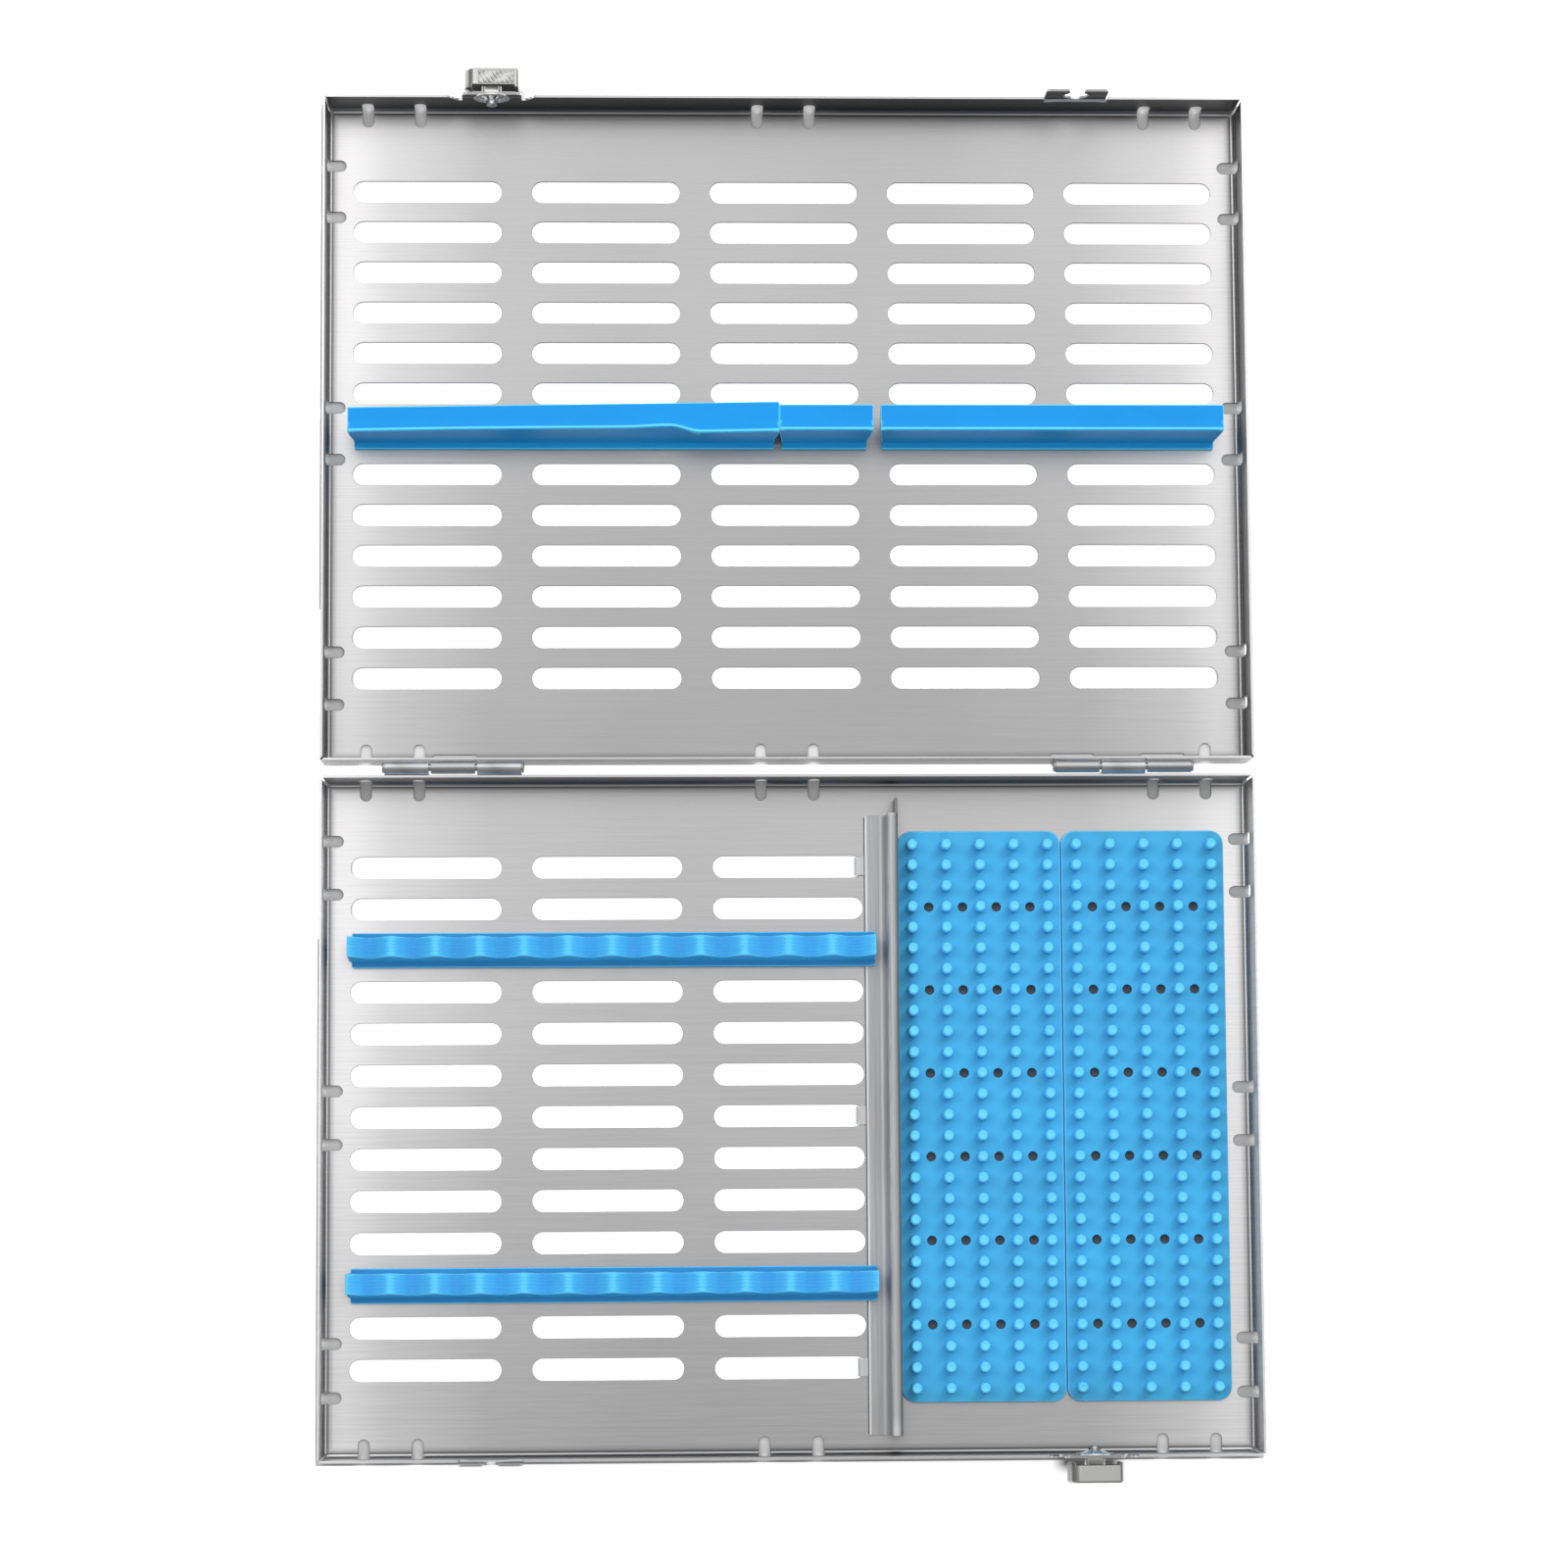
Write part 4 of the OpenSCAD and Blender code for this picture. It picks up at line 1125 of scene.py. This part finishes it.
pressed_wave = wave_tree()
for place_name, row_y in (("rear", -53.75), ("front", -153.75)):
    strip = straight_strip("wavy_strip_" + place_name, row_y)
    grow(strip.name, pressed_wave, {
        "Pitch": VALLEY_PITCH * MM, "Depth": VALLEY_DEPTH * MM, "First Valley": FIRST_VALLEY * MM,
        "Foot": (SHEET + FOOT_T) * MM, "Top": STRIP_TOP * MM, "Lean": 0.4 * MM,
        "Material": strip_blue}, strip)
    soften(strip)
    dress(strip, strip_blue, "strip_silicone", "base", "base_" + place_name + "_strip")

# %% [markdown]
# ## Hold-down strips of the lid
# When the lid closes, its strips press the instruments into the valleys. Their section is a
# leaning slab on a flat foot: a wide top with a raised ridge along its front edge, a front face
# below it, and a lip on the foot; the pale ridge and top edges are painted highlight, and the
# darker front face is painted shade. Three lengths are cut from one profile, so one section
# function makes all three; a hand-cut strip is never quite straight, so the top edge wanders a
# little.

# %% Lid strips
LID_STRIPS = {"left": (-132.0, -2.3), "middle": (-2.3, 26.0), "right": (28.2, 132.0)}
UNDERCUT = 1.2
LID_CORNERS = [
    (-5.0, 0.82, 0.25), (5.0, 0.82, 0.25), (5.0, 3.0, 0.3), (3.0, 3.0, 0.8), (3.0, 15.4, 1.2),
    (5.6, 18.2, 0.35), (5.6, 19.35, 0.4), (0.4, 19.25, 1.5), (-1.1, 19.4, 0.5), (-1.75, 19.8, 0.25),
    (-2.3, 19.35, 0.35), (-2.75, 11.0, 2.0), (-3.1, 3.0, 0.7), (-5.0, 2.6, 0.4)]


def wander(x, name):
    """How far the top edge strays from straight, in mm, at a place along the lid."""
    if name != "left":
        return 0.0
    bulge = 0.4 * math.exp(-((x + 37) / 7) ** 2) - 1.6 * float(ease((x + 35) / 9))
    return 0.3 + bulge + 0.15 * math.sin(x / 21)


def drift(x, name):
    """How far the whole top lies off the rail, in mm: the long strip is a little askew."""
    return 0.9 * (x + 67) / 65 if name == "left" else 0.0


def lid_strip(name):
    start, end = LID_STRIPS[name]
    middle = (start + end) / 2
    rings = []
    for x, small in end_stations(start, end, 1.6, 0.3):
        ring = []
        near_end = float(ease(1 - min(x - start, end - x) / 6.0))
        for y, z in rounded_section(LID_CORNERS):
            y = y - math.copysign(min(small, abs(y)), y) * 0.8
            z = z - small if z > 10 else z
            high = float(ease((z - 3) / 16.4))
            pull = UNDERCUT * near_end * float(ease((18.3 - z) / 15.0))
            stray = (wander(x, name) * high if y < 2 else 0.0) + drift(x, name) * high
            ring.append((x + math.copysign(pull, middle - x), TRAY_Y + y + stray, z))
        rings.append(ring)
    piece = skin("lid_strip_" + name, rings)
    soften(piece)
    return dress(piece, lid_blue, "strip_silicone", "lid", "lid_" + name + "_strip")


for name in LID_STRIPS:
    print("lid strip", name, len(lid_strip(name).data.polygons), "faces")

# %% [markdown]
# ## Pin mats
# Two moulded mats carry small instruments on soft pins, which hold them and let water pass. A pin
# is a short cone with a round tip, its foot flows into the mat, and every fourth row has drain
# holes between the pins. Pins and holes repeat on grids, so geometry nodes place them; the pin
# itself is a small turned shape of a few dozen faces.

# %% One pin
PIN_H, PIN_FOOT, PIN_TIP, MAT_T = 5.0, 1.68, 1.52, 2.0


def turned(name, profile, steps):
    """A body of revolution about z from (radius, height) points; a radius of zero is a pole."""
    points, faces, rings = [], [], []
    for radius, height in profile:
        turns = [math.tau * k / steps for k in range(steps if radius else 1)]
        rings.append([len(points) + k for k in range(len(turns))])
        points += [(radius * math.cos(t), radius * math.sin(t), height) for t in turns]
    for low, high in zip(rings, rings[1:]):
        for k in range(steps):
            j = (k + 1) % steps
            if len(low) == 1:
                faces.append([low[0], high[k], high[j]])
            elif len(high) == 1:
                faces.append([low[k], low[j], high[0]])
            else:
                faces.append([low[k], low[j], high[j], high[k]])
    piece = make_mesh(name, points, faces)
    weld(piece)
    return piece


pin = turned("pin_master", [
    (0, -0.3), (PIN_FOOT + 0.15, -0.3), (PIN_FOOT + 0.15, -0.05), (PIN_FOOT - 0.02, 0.25),
    (PIN_TIP + 0.12, PIN_H - 0.9), (PIN_TIP - 0.03, PIN_H - 0.35), (PIN_TIP - 0.35, PIN_H - 0.01),
    (PIN_TIP - 0.60, PIN_H - 0.06), (PIN_TIP - 0.85, PIN_H - 0.25), (0, PIN_H - 0.30)], 12)
pin.data.polygons.foreach_set("use_smooth", [True] * len(pin.data.polygons))


# %% The tree for a mat
def pin_mat_tree():
    tree, get = geometry_tree("pin_mat", {
        "Width": 0.05, "Length": 0.17, "Thickness": 0.002, "Corner": 0.004, "Edge": 0.0004,
        "Columns": 5, "Rows": 27, "Pitch X": 0.01, "Pitch Y": 0.006, "Hole": 0.0015,
        "Pin": "Object", "Material": "Material"})
    edge, thick = get["Edge"], get["Thickness"]

    def outline(shrink):
        small = edge * shrink
        return round_box(get["Width"] - small * 2.0, get["Length"] - small * 2.0,
                         get["Corner"] - small, 8)

    def hole(wider):
        radius = get["Hole"] + edge * wider
        return add(tree, "CurvePrimitiveCircle", {"Radius": radius, "Resolution": 20})

    holes = grid_points(get["Columns"] - 1.0, (get["Rows"] / 4.0).math("FLOOR"), get["Pitch X"],
                        get["Pitch Y"] * 4.0)
    below = filled(outline(1.0), holes, hole(0.5))
    round_mat = edge_band(outline(0.0), edge, thick, ((-1.0, 0.0), (-0.3, 0.3), (0.0, 1.0)))
    round_hole = edge_band(hole(0.0), edge, thick, ((0.5, 0.0), (0.15, 0.3), (0.0, 1.0)))
    model = shape_of(get["Pin"])
    pins = placed(grid_points(get["Columns"], get["Rows"], get["Pitch X"], get["Pitch Y"]), model)
    return finish_tree(get, joined([
        below, moved_up(below, thick), moved_up(round_mat, thick * 0.5),
        moved_up(placed(holes, round_hole), thick * 0.5), moved_up(pins, thick)]))


mat_tree = pin_mat_tree()

# %% Lay the two mats
MAT_W, MAT_LEN = 49.2, 171.0
MATS = {"left_mat": 33.1, "right_mat": 82.6}
for node_name, left in MATS.items():
    mat = grow("pin_" + node_name, mat_tree, {
        "Width": MAT_W * MM, "Length": MAT_LEN * MM, "Thickness": MAT_T * MM, "Corner": 4 * MM,
        "Edge": 0.4 * MM, "Columns": 5, "Rows": 27, "Pitch X": 10.2 * MM, "Pitch Y": 6.25 * MM,
        "Hole": 1.45 * MM, "Pin": pin, "Material": mat_blue})
    mat.data.transform(moved(left + MAT_W / 2, -TRAY_Y, SHEET + 0.01))
    print(node_name, "open edges:", weld(mat, 0.05))
    soften(mat)
    dress(mat, mat_blue, "mat_silicone", "base", node_name)
bpy.data.objects.remove(pin)

# %% [markdown]
# ## Bent sheet: the divider
# The divider is one strip of the same sheet. From its hooks it runs flat, turns up, rolls over a
# full round and comes down again, and its outer leg is a little longer than the rest. So its blank
# is drawn and filled like the tray's, and then follows a path of straight runs and arcs.

# %% Follow a path of bends
def bend_path(start, heading, runs):
    """A function from length along the sheet to place and heading. runs: (length, radius), with
    a positive radius for a left turn, a negative one for a right turn and 0 for straight."""
    def follow(s):
        place = np.tile(np.array(start, float), (len(s), 1))
        angle = np.full(len(s), math.radians(heading))
        done = 0.0
        for number, (length, radius) in enumerate(runs):
            last = number == len(runs) - 1
            part = np.clip(s - done, 0 if number else -1e9, 1e9 if last else length)
            done += length
            if radius == 0:
                place += part[:, None] * np.stack([np.cos(angle), np.sin(angle)], 1)
            else:
                after = angle + part / radius
                place += radius * np.stack([np.sin(after) - np.sin(angle),
                                            np.cos(angle) - np.cos(after)], 1)
                angle = after
        return place, angle
    return follow


def turn_length(radius, degrees):
    return abs(radius) * math.radians(degrees)


def bent_sheet(name, loops, runs, start, heading, side, to_world):
    """A rounded sheet, drawn flat as (along, across), bent along a path. side is 1 where the
    sheet lies on the left of the path and -1 on its right."""
    piece = make_mesh(name, *flat_sheet(loops))
    weld(piece)
    rows, done = [], 0.0
    for length, radius in runs:
        steps = 1 if radius == 0 else max(3, round(math.degrees(length / abs(radius)) / 12))
        rows += [((done + length * k / steps, 0), (1, 0)) for k in range(steps)]
        done += length
    cut_rows(piece, rows)
    keep_blank_map(piece)

    def bend(co):
        place, angle = bend_path(start, heading, runs)(co[:, 0])
        place += (side * co[:, 2])[:, None] * np.stack([-np.sin(angle), np.cos(angle)], 1)
        return to_world(place, co[:, 1])

    move_points(piece, bend)
    print(name, "open edges:", weld(piece), "faces:", len(piece.data.polygons))
    soften(piece)
    return piece


def counter_clockwise(points):
    return clockwise(points)[::-1]


# %% The divider
DIV_X, FLANGE_W, FOLD_R, DIV_H, DIV_LEN, DIV_SHORT = 23.0, 6.6, 1.6, 11.4, 190.0, 4.7
HOOK_W, HOOK_OUT, HOOK_R = 5.4, 3.0, 0.2
hook_x = DIV_X - HOOK_OUT + SHEET
knee_x, knee_z = DIV_X + FLANGE_W - (BEND - SHEET), SHEET + BEND
DIV_RUNS = [
    (0.5, 0), (turn_length(HOOK_R, 90), -HOOK_R), (knee_x - hook_x - HOOK_R, 0),
    (turn_length(BEND, 90), BEND), (DIV_H - FOLD_R - knee_z, 0),
    (turn_length(FOLD_R - SHEET, 180), -(FOLD_R - SHEET)), (DIV_H - FOLD_R - SHEET - 0.4, 0)]


def divider_outline():
    edge = sum(length for length, _ in DIV_RUNS[:2]) + DIV_X - hook_x - HOOK_R
    leg = sum(length for length, _ in DIV_RUNS[:-1])
    end = leg + DIV_RUNS[-1][0]
    low, high, step, r = -DIV_LEN / 2, DIV_LEN / 2 - DIV_SHORT, DIV_LEN / 2, 0.8
    arcs = [(edge + r, low + r, r, 180, 270, 6), (end - r, low + r, r, 270, 360, 6),
            (end - r, step - r, r, 0, 90, 6), (leg + r + 0.3, step - r, r, 90, 180, 6),
            (leg - 0.3, high + 0.6, 0.6, 0, -90, 6), (edge + r, high - r, r, 90, 180, 6)]
    for y in (75, 0, -75):
        top, bottom = y + HOOK_W / 2, y - HOOK_W / 2
        arcs += [(edge - 0.4, top + 0.4, 0.4, 0, -90, 3), (0.7, top - 0.7, 0.7, 90, 180, 4),
                 (0.7, bottom + 0.7, 0.7, 180, 270, 4), (edge - 0.4, bottom - 0.4, 0.4, 90, 0, 3)]
    loop = []
    for x, y, radius, start, turn_to, steps in arcs:
        loop += arc_points((x, y), radius, start, turn_to, steps)
    return counter_clockwise(loop)


divider = bent_sheet("folded_divider", [divider_outline()], DIV_RUNS, (hook_x, 0.1), 90, 1,
                     lambda p, v: np.stack([p[:, 0], v - TRAY_Y, p[:, 1]], 1))
dress(divider, fold_steel, "tray_steel", "base", "divider")

# %% [markdown]
# ## Hinges
# Each hinge has three leaves of sheet whose upper ends are rolled round a pin. The base's leaves
# sit flat on the rear wall. The lid's leaves run down to the table side and turn in through
# a window of the lid, where their feet, painted nearly black as painted shade, show from above as
# bars in the dark windows.

# %% Hinge leaves
KNUCKLE_LEN, KNUCKLE_R, HINGE_Y, HINGE_Z = 13.2, 1.95, 2.25, 16.0
BASE_KNUCKLES = (-114.1, -86.5, 100.3)
LID_KNUCKLES = (-100.3, 86.5, 114.1)
ROLL = [(turn_length(HINGE_Y, 90), -HINGE_Y), (turn_length(KNUCKLE_R, 225), -KNUCKLE_R)]


def leaf_outline(length, foot=0.0):
    """Blank of a leaf: as wide as the knuckle, but a little narrower along the foot."""
    half, r = KNUCKLE_LEN / 2, 0.9
    if not foot:
        return counter_clockwise(rounded_box(0, length, -half, half, r, 4))
    narrow = (WINDOW_LEN - 0.6) / 2
    right_side = arc_points((length - 0.3, half - 0.3), 0.3, 0, 90, 2) + [(foot + 0.8, half)]
    right_side += [(foot + 0.6, narrow)] + arc_points((r, narrow - r), r, 90, 180, 4)
    return counter_clockwise(right_side + [(s, -v) for s, v in reversed(right_side)])


def hinge_leaf(half, number, x):
    """A leaf at x along the hinge; the lid's is turned round and has a foot."""
    roll_z = HINGE_Z + KNUCKLE_R - HINGE_Y
    if half == "base":
        way, foot = 1, 0.0
        runs = [(roll_z - 6.0, 0)] + ROLL
        start, heading = (-HINGE_Y, 6.0), 90
    else:
        way, bend = -1, 0.4
        flat = WINDOW_IN - 1 - bend
        foot = flat + turn_length(bend, 90)
        runs = [(flat, 0), (turn_length(bend, 90), bend), (roll_z - 0.9 - bend, 0)] + ROLL
        start, heading = (-HINGE_Y - flat - bend, 0.9), 0
    outline = leaf_outline(sum(length for length, _ in runs), foot)
    piece = bent_sheet("%s_rolled_leaf_%d" % (half, number), [outline], runs, start, heading, -1,
                       lambda p, v: np.stack([x + v * way, p[:, 0] * way, p[:, 1]], 1))
    return dress(piece, leaf_steel, "tray_steel", half, "%s_hinge_leaf_%d" % (half, number))


for number, places in enumerate(zip(BASE_KNUCKLES, LID_KNUCKLES), 1):
    for half, x in zip(("base", "lid"), places):
        hinge_leaf(half, number, x)

# %% Hinge pins
SHADE = (0.08, 0.08, 0.085)
knob_satin = brushed_steel("knob_satin", (0.50, 0.50, 0.49), (90, 90, 40), None,
                           (0.26, 0.32), 0.25)
# Painted shade: faces marked in the attribute shade are darkened towards SHADE
repaint(knob_satin, lambda plain: mix_colours(
    add(plain.tree, "Attribute", attribute_name="shade")["Fac"], plain, SHADE))
PIN_R, PIN_SPAN, HEAD_T, HEAD_R = 1.1, 41.0, 0.8, 1.7
for side_name, x in (("left", -100.3), ("right", 100.3)):
    end = PIN_SPAN / 2
    profile = [(0, end + HEAD_T), (HEAD_R * 0.55, end + HEAD_T - 0.03),
               (HEAD_R * 0.88, end + HEAD_T - 0.22), (HEAD_R, end + HEAD_T - 0.5),
               (HEAD_R, end + 0.06), (HEAD_R - 0.06, end), (PIN_R, end)]
    profile += [(r, -z) for r, z in reversed(profile)]
    rod = turned("riveted_pin_" + side_name, profile, 32)
    rod.data.transform(moved(x, 0, HINGE_Z) @ turned_about("Y", 90))
    soften(rod)
    dress(rod, knob_satin, "knob_steel", "base", "hinge_pin_" + side_name)
for rail_name in ("base_rear_rail", "base_front_rail", "lid_left_rail", "lid_right_rail"):
    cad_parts[rail_name].data.materials.clear()
    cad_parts[rail_name].data.materials.append(cross_steel)
print("hinges of", len(BASE_KNUCKLES) + len(LID_KNUCKLES), "leaves on two pins, and four rails")

# %% [markdown]
# ## Latch knobs
# A knob is milled from bar: a thick handle with one round end, a neck with two flats that locks
# behind the other half's catch, and a shaft through the tongue. One long face of the handle is
# hatched for grip. The hatching repeats, so a tree of geometry nodes raises rows of small ridges
# on a fine grid, with a fixed seed for their uneven height.

# %% Outlines and layers of a knob
BAR_LEN, BAR_H, BAR_T, BAR_GAP, FOOT_GAP = 16.3, 8.6, 5.4, 2.1, 1.35
BAR_ROUND, BAR_SQUARE = (4.0, 12), (1.2, 6)
GRIP_RISE, GRIP_LEN, GRIP_W, GRIP_X, GRIP_Y = 0.24, 11.2, 4.3, 1.45, 2.45
INNER_SHADE, END_SHADE = 0.85, 0.55
NECK_LEN, NECK_W, SHAFT_R, SHAFT_IN = 6.0, 4.0, 1.8, 3.6


def layer(points, depth):
    """An outline seen along the shaft, at its depth out of the wall."""
    return [(a, depth, b) for a, b in points]


def smaller(loop, by):
    """A counter-clockwise loop moved inwards."""
    return [tuple(p) for p in inset(loop, by)] if by else list(loop)


def bar_outline():
    """Handle seen along the shaft: round at -x, nearly square at +x, and lower for the grip."""
    loop = []
    for quarter, (r, steps) in enumerate((BAR_SQUARE, BAR_ROUND, BAR_ROUND, BAR_SQUARE)):
        x = (BAR_LEN / 2 - r) * (1 if quarter in (0, 3) else -1)
        z = (BAR_H / 2 - r) * (1 if quarter < 2 else -1)
        loop += arc_points((x, z), r, 90 * quarter, 90 * quarter + 90, steps)
    return [(a, min(b, BAR_H / 2 - GRIP_RISE)) for a, b in without_doubles(loop)]


def rounded_layers(loop, start, end, first, last):
    """Layers of a loop from start to end, with rounded edges of two radii."""
    layers = []
    for radius, depth, way in ((first, start, 1), (last, end, -1)):
        turns = [math.radians(22.5 * k) for k in range(5)]
        part = [layer(smaller(loop, radius * (1 - math.sin(t))),
                      depth + way * radius * (1 - math.cos(t))) for t in turns]
        layers += part[::way]
    return layers


# %% The hatched grip, as geometry nodes
def hatch_tree():
    tree, get = geometry_tree("hatched_grip", {
        "Length": 0.011, "Width": 0.004, "Fineness": 0.00022, "Ridge Pitch": 0.0014,
        "Ridge Height": 0.00012, "Sunk": 0.0003, "Seed": 3.0, "Material": "Material"})
    sizes = [get["Length"], get["Width"]]
    counts = [(size / get["Fineness"]).math("ROUND") for size in sizes]
    grid = add(tree, "MeshGrid", {"Size X": sizes[0], "Size Y": sizes[1],
                                  "Vertices X": counts[0], "Vertices Y": counts[1]})
    place = add(tree, "ShaderNodeSeparateXYZ", {0: add(tree, "InputPosition")})
    x, y = place["X"], place["Y"]
    wobble = add(tree, "ShaderNodeTexNoise", {"W": get["Seed"], "Scale": 420.0, "Detail": 2.0},
                 noise_dimensions="4D")
    ways = [(x * 1.0 + y * 0.55), (x * 0.22 + y * -0.38)]
    first, second = [(way / get["Ridge Pitch"] + wobble * 1.2).math("PINGPONG", 0.5)
                     for way in ways]
    edge = (sizes[0] * 0.5 - abs(x)).math("MINIMUM", sizes[1] * 0.5 - abs(y))
    inner = add(tree, "ShaderNodeMapRange", {"Value": edge, "From Max": 0.0005})
    border = add(tree, "FunctionNodeCompare", {0: edge, 1: 0.00001}, operation="LESS_THAN")
    rise = first * second * 4.0 * get["Ridge Height"] * inner - border * get["Sunk"]
    up = add(tree, "ShaderNodeCombineXYZ", {"Z": rise})
    top = add(tree, "SetPosition", {"Geometry": grid, "Offset": up})
    return finish_tree(get, joined([top, moved_up(grid, get["Sunk"] * -1.0)]))


grip_tree = hatch_tree()


def knob(name):
    """A knob about its shaft: x along the handle, y out of the wall, z up."""
    outline = bar_outline()
    parts = [skin("handle", rounded_layers(outline, BAR_GAP, BAR_GAP + BAR_T, 0.25, 0.9))]
    x, z = NECK_LEN / 2, NECK_W / 2
    neck = without_doubles(rounded_box(-x, x, -z, z, 1.2, 6))
    parts.append(skin("neck", [layer(smaller(neck, 0.12), 0.1), layer(neck, 0.22),
                               layer(neck, BAR_GAP + 0.3)]))
    shaft = turned("shaft", [
        (0, -SHAFT_IN), (SHAFT_R - 0.5, -SHAFT_IN), (SHAFT_R - 0.12, -SHAFT_IN + 0.2),
        (SHAFT_R, -SHAFT_IN + 0.5), (SHAFT_R, 0.5), (0, 0.5)], 40)
    shaft.data.transform(turned_about("X", -90))
    grip = grow("grip", grip_tree, {
        "Length": GRIP_LEN * MM, "Width": GRIP_W * MM, "Fineness": 0.16 * MM,
        "Ridge Pitch": 1.35 * MM, "Ridge Height": GRIP_RISE * MM, "Sunk": 0.5 * MM, "Seed": 3.0,
        "Material": knob_satin})
    grip.data.transform(moved(GRIP_X, BAR_GAP + GRIP_Y, BAR_H / 2 - GRIP_RISE))
    weld(grip, 0.01)
    parts += [shaft, grip]
    for low, high in ((-BAR_LEN / 2, -BAR_LEN / 2 + 2.2), (BAR_LEN / 2 - 1.1, BAR_LEN / 2)):
        foot = without_doubles([(min(max(a, low), high), b) for a, b in outline])
        parts.append(skin("foot", rounded_layers(foot, FOOT_GAP, BAR_GAP + 0.8, 0.25, 0.01)))
    for part in parts:
        weld(part)
    whole = join_all(name, parts)
    # Painted shade: the handle's wall-facing side fully, and faces more the more they turn along
    # the handle
    shades = [INNER_SHADE if v.normal.y < -0.5 and v.co.y > FOOT_GAP * MM - 1e-6
              else END_SHADE * abs(v.normal.x) for v in whole.data.vertices]
    whole.data.attributes.new("shade", "FLOAT", "POINT").data.foreach_set("value", shades)
    return whole


# %% [markdown]
# ## Star washers
# Inside the wall, a washer of spring steel is pushed on the shaft. It is a low dome whose inner
# half is slit into eight petals that bite into the shaft. One petal and its share of the rim are
# drawn once, and geometry nodes place them round the shaft.

# %% One petal, and the ring of eight
WASHER_R, WASHER_DOME, WASHER_T, PETALS = 5.49, 1.0, 0.4, 8


def washer_petal():
    """One eighth of the washer in the xy plane, its dome towards +z."""
    share = math.pi / PETALS
    rows = [(SHAFT_R - 0.01, 0.46), (2.6, 0.46), (3.6, 0.42), (4.15, 0.38), (4.25, 0.0),
            (4.7, 0.0), (5.15, 0.0), (WASHER_R - 0.08, 0.0), (WASHER_R, 0.0)]
    columns, flat_from = 7, WASHER_R - 1.0
    points, faces = [], []
    for face in (0, 1):
        for r, slit in rows:
            rise = WASHER_DOME * max(0.0, (flat_from - r) / (flat_from - SHAFT_R)) ** 1.25
            half = share - slit / r
            thick = WASHER_T if face else 0.0
            if r == WASHER_R:
                thick = WASHER_T - 0.1 if face else 0.1
            for k in range(columns):
                side = 2 * k / (columns - 1) - 1
                puff = 0.10 * (1 - side ** 2) if r < 4.2 else 0.0
                points.append((r * math.cos(half * side), r * math.sin(half * side),
                               min(rise + puff, WASHER_DOME) + thick))
    n = len(rows) * columns
    for i in range(len(rows) - 1):
        for k in range(columns - 1):
            a = i * columns + k
            quad = [a, a + 1, a + columns + 1, a + columns]
            faces += [quad, [q + n for q in quad[::-1]]]
        if rows[i][1] > 0:
            for k in (0, columns - 1):
                a = i * columns + k
                faces.append([a, a + columns, a + columns + n, a + n])
    for k in range(columns - 1):
        for i in (0, len(rows) - 1):
            a = i * columns + k
            faces.append([a, a + 1, a + 1 + n, a + n])
    return make_mesh("petal_master", points, faces)


def petal_ring_tree():
    tree, get = geometry_tree("petal_ring", {
        "Petal": "Object", "Petals": 8, "Material": "Material"})
    dots = add(tree, "MeshLine", {"Count": get["Petals"], "Offset": (0, 0, 0)}, mode="OFFSET")
    turn = add(tree, "InputIndex") * math.tau / get["Petals"]
    spin = add(tree, "ShaderNodeCombineXYZ", {"Z": turn})
    model = shape_of(get["Petal"])
    return finish_tree(get, add(tree, "InstanceOnPoints", {
        "Points": dots, "Instance": model, "Rotation": spin}))


petal = washer_petal()
washer_steel = brushed_steel("washer_steel", (0.78, 0.78, 0.77), (500, 500, 500), None,
                             (0.24, 0.32), 0.5)
ring_tree = petal_ring_tree()


def washer(name):
    """A washer about the shaft, in the knob's frame: the dome points into the tray."""
    ring = grow(name, ring_tree, {"Petal": petal, "Petals": PETALS, "Material": washer_steel})
    ring.data.transform(moved(0, -SHEET - 0.1, 0) @ turned_about("X", 90))
    print(name, "open edges:", weld(ring, 0.01))
    return ring


# %% Put both latches in place
for half in ("base", "lid"):
    for make, label, paint, slot_name, node_name in (
            (knob, "hatched_knob", knob_satin, "knob_steel", "latch_knob"),
            (washer, "petal_washer", washer_steel, "tray_steel", "star_washer")):
        part = make(half + "_" + label)
        place = moved(LATCH_X, -TRAY_D / 2, LATCH_Z) @ turned_about("Z", 180)
        if half == "base" and make is knob:
            place = place @ turned_about("Y", 180)
        part.data.transform(place)
        settle(part, half)
        soften(part)
        part.visible_glossy = False
        dress(part, paint, slot_name, half + "_knob", half + "_" + node_name)
bpy.data.objects.remove(petal)
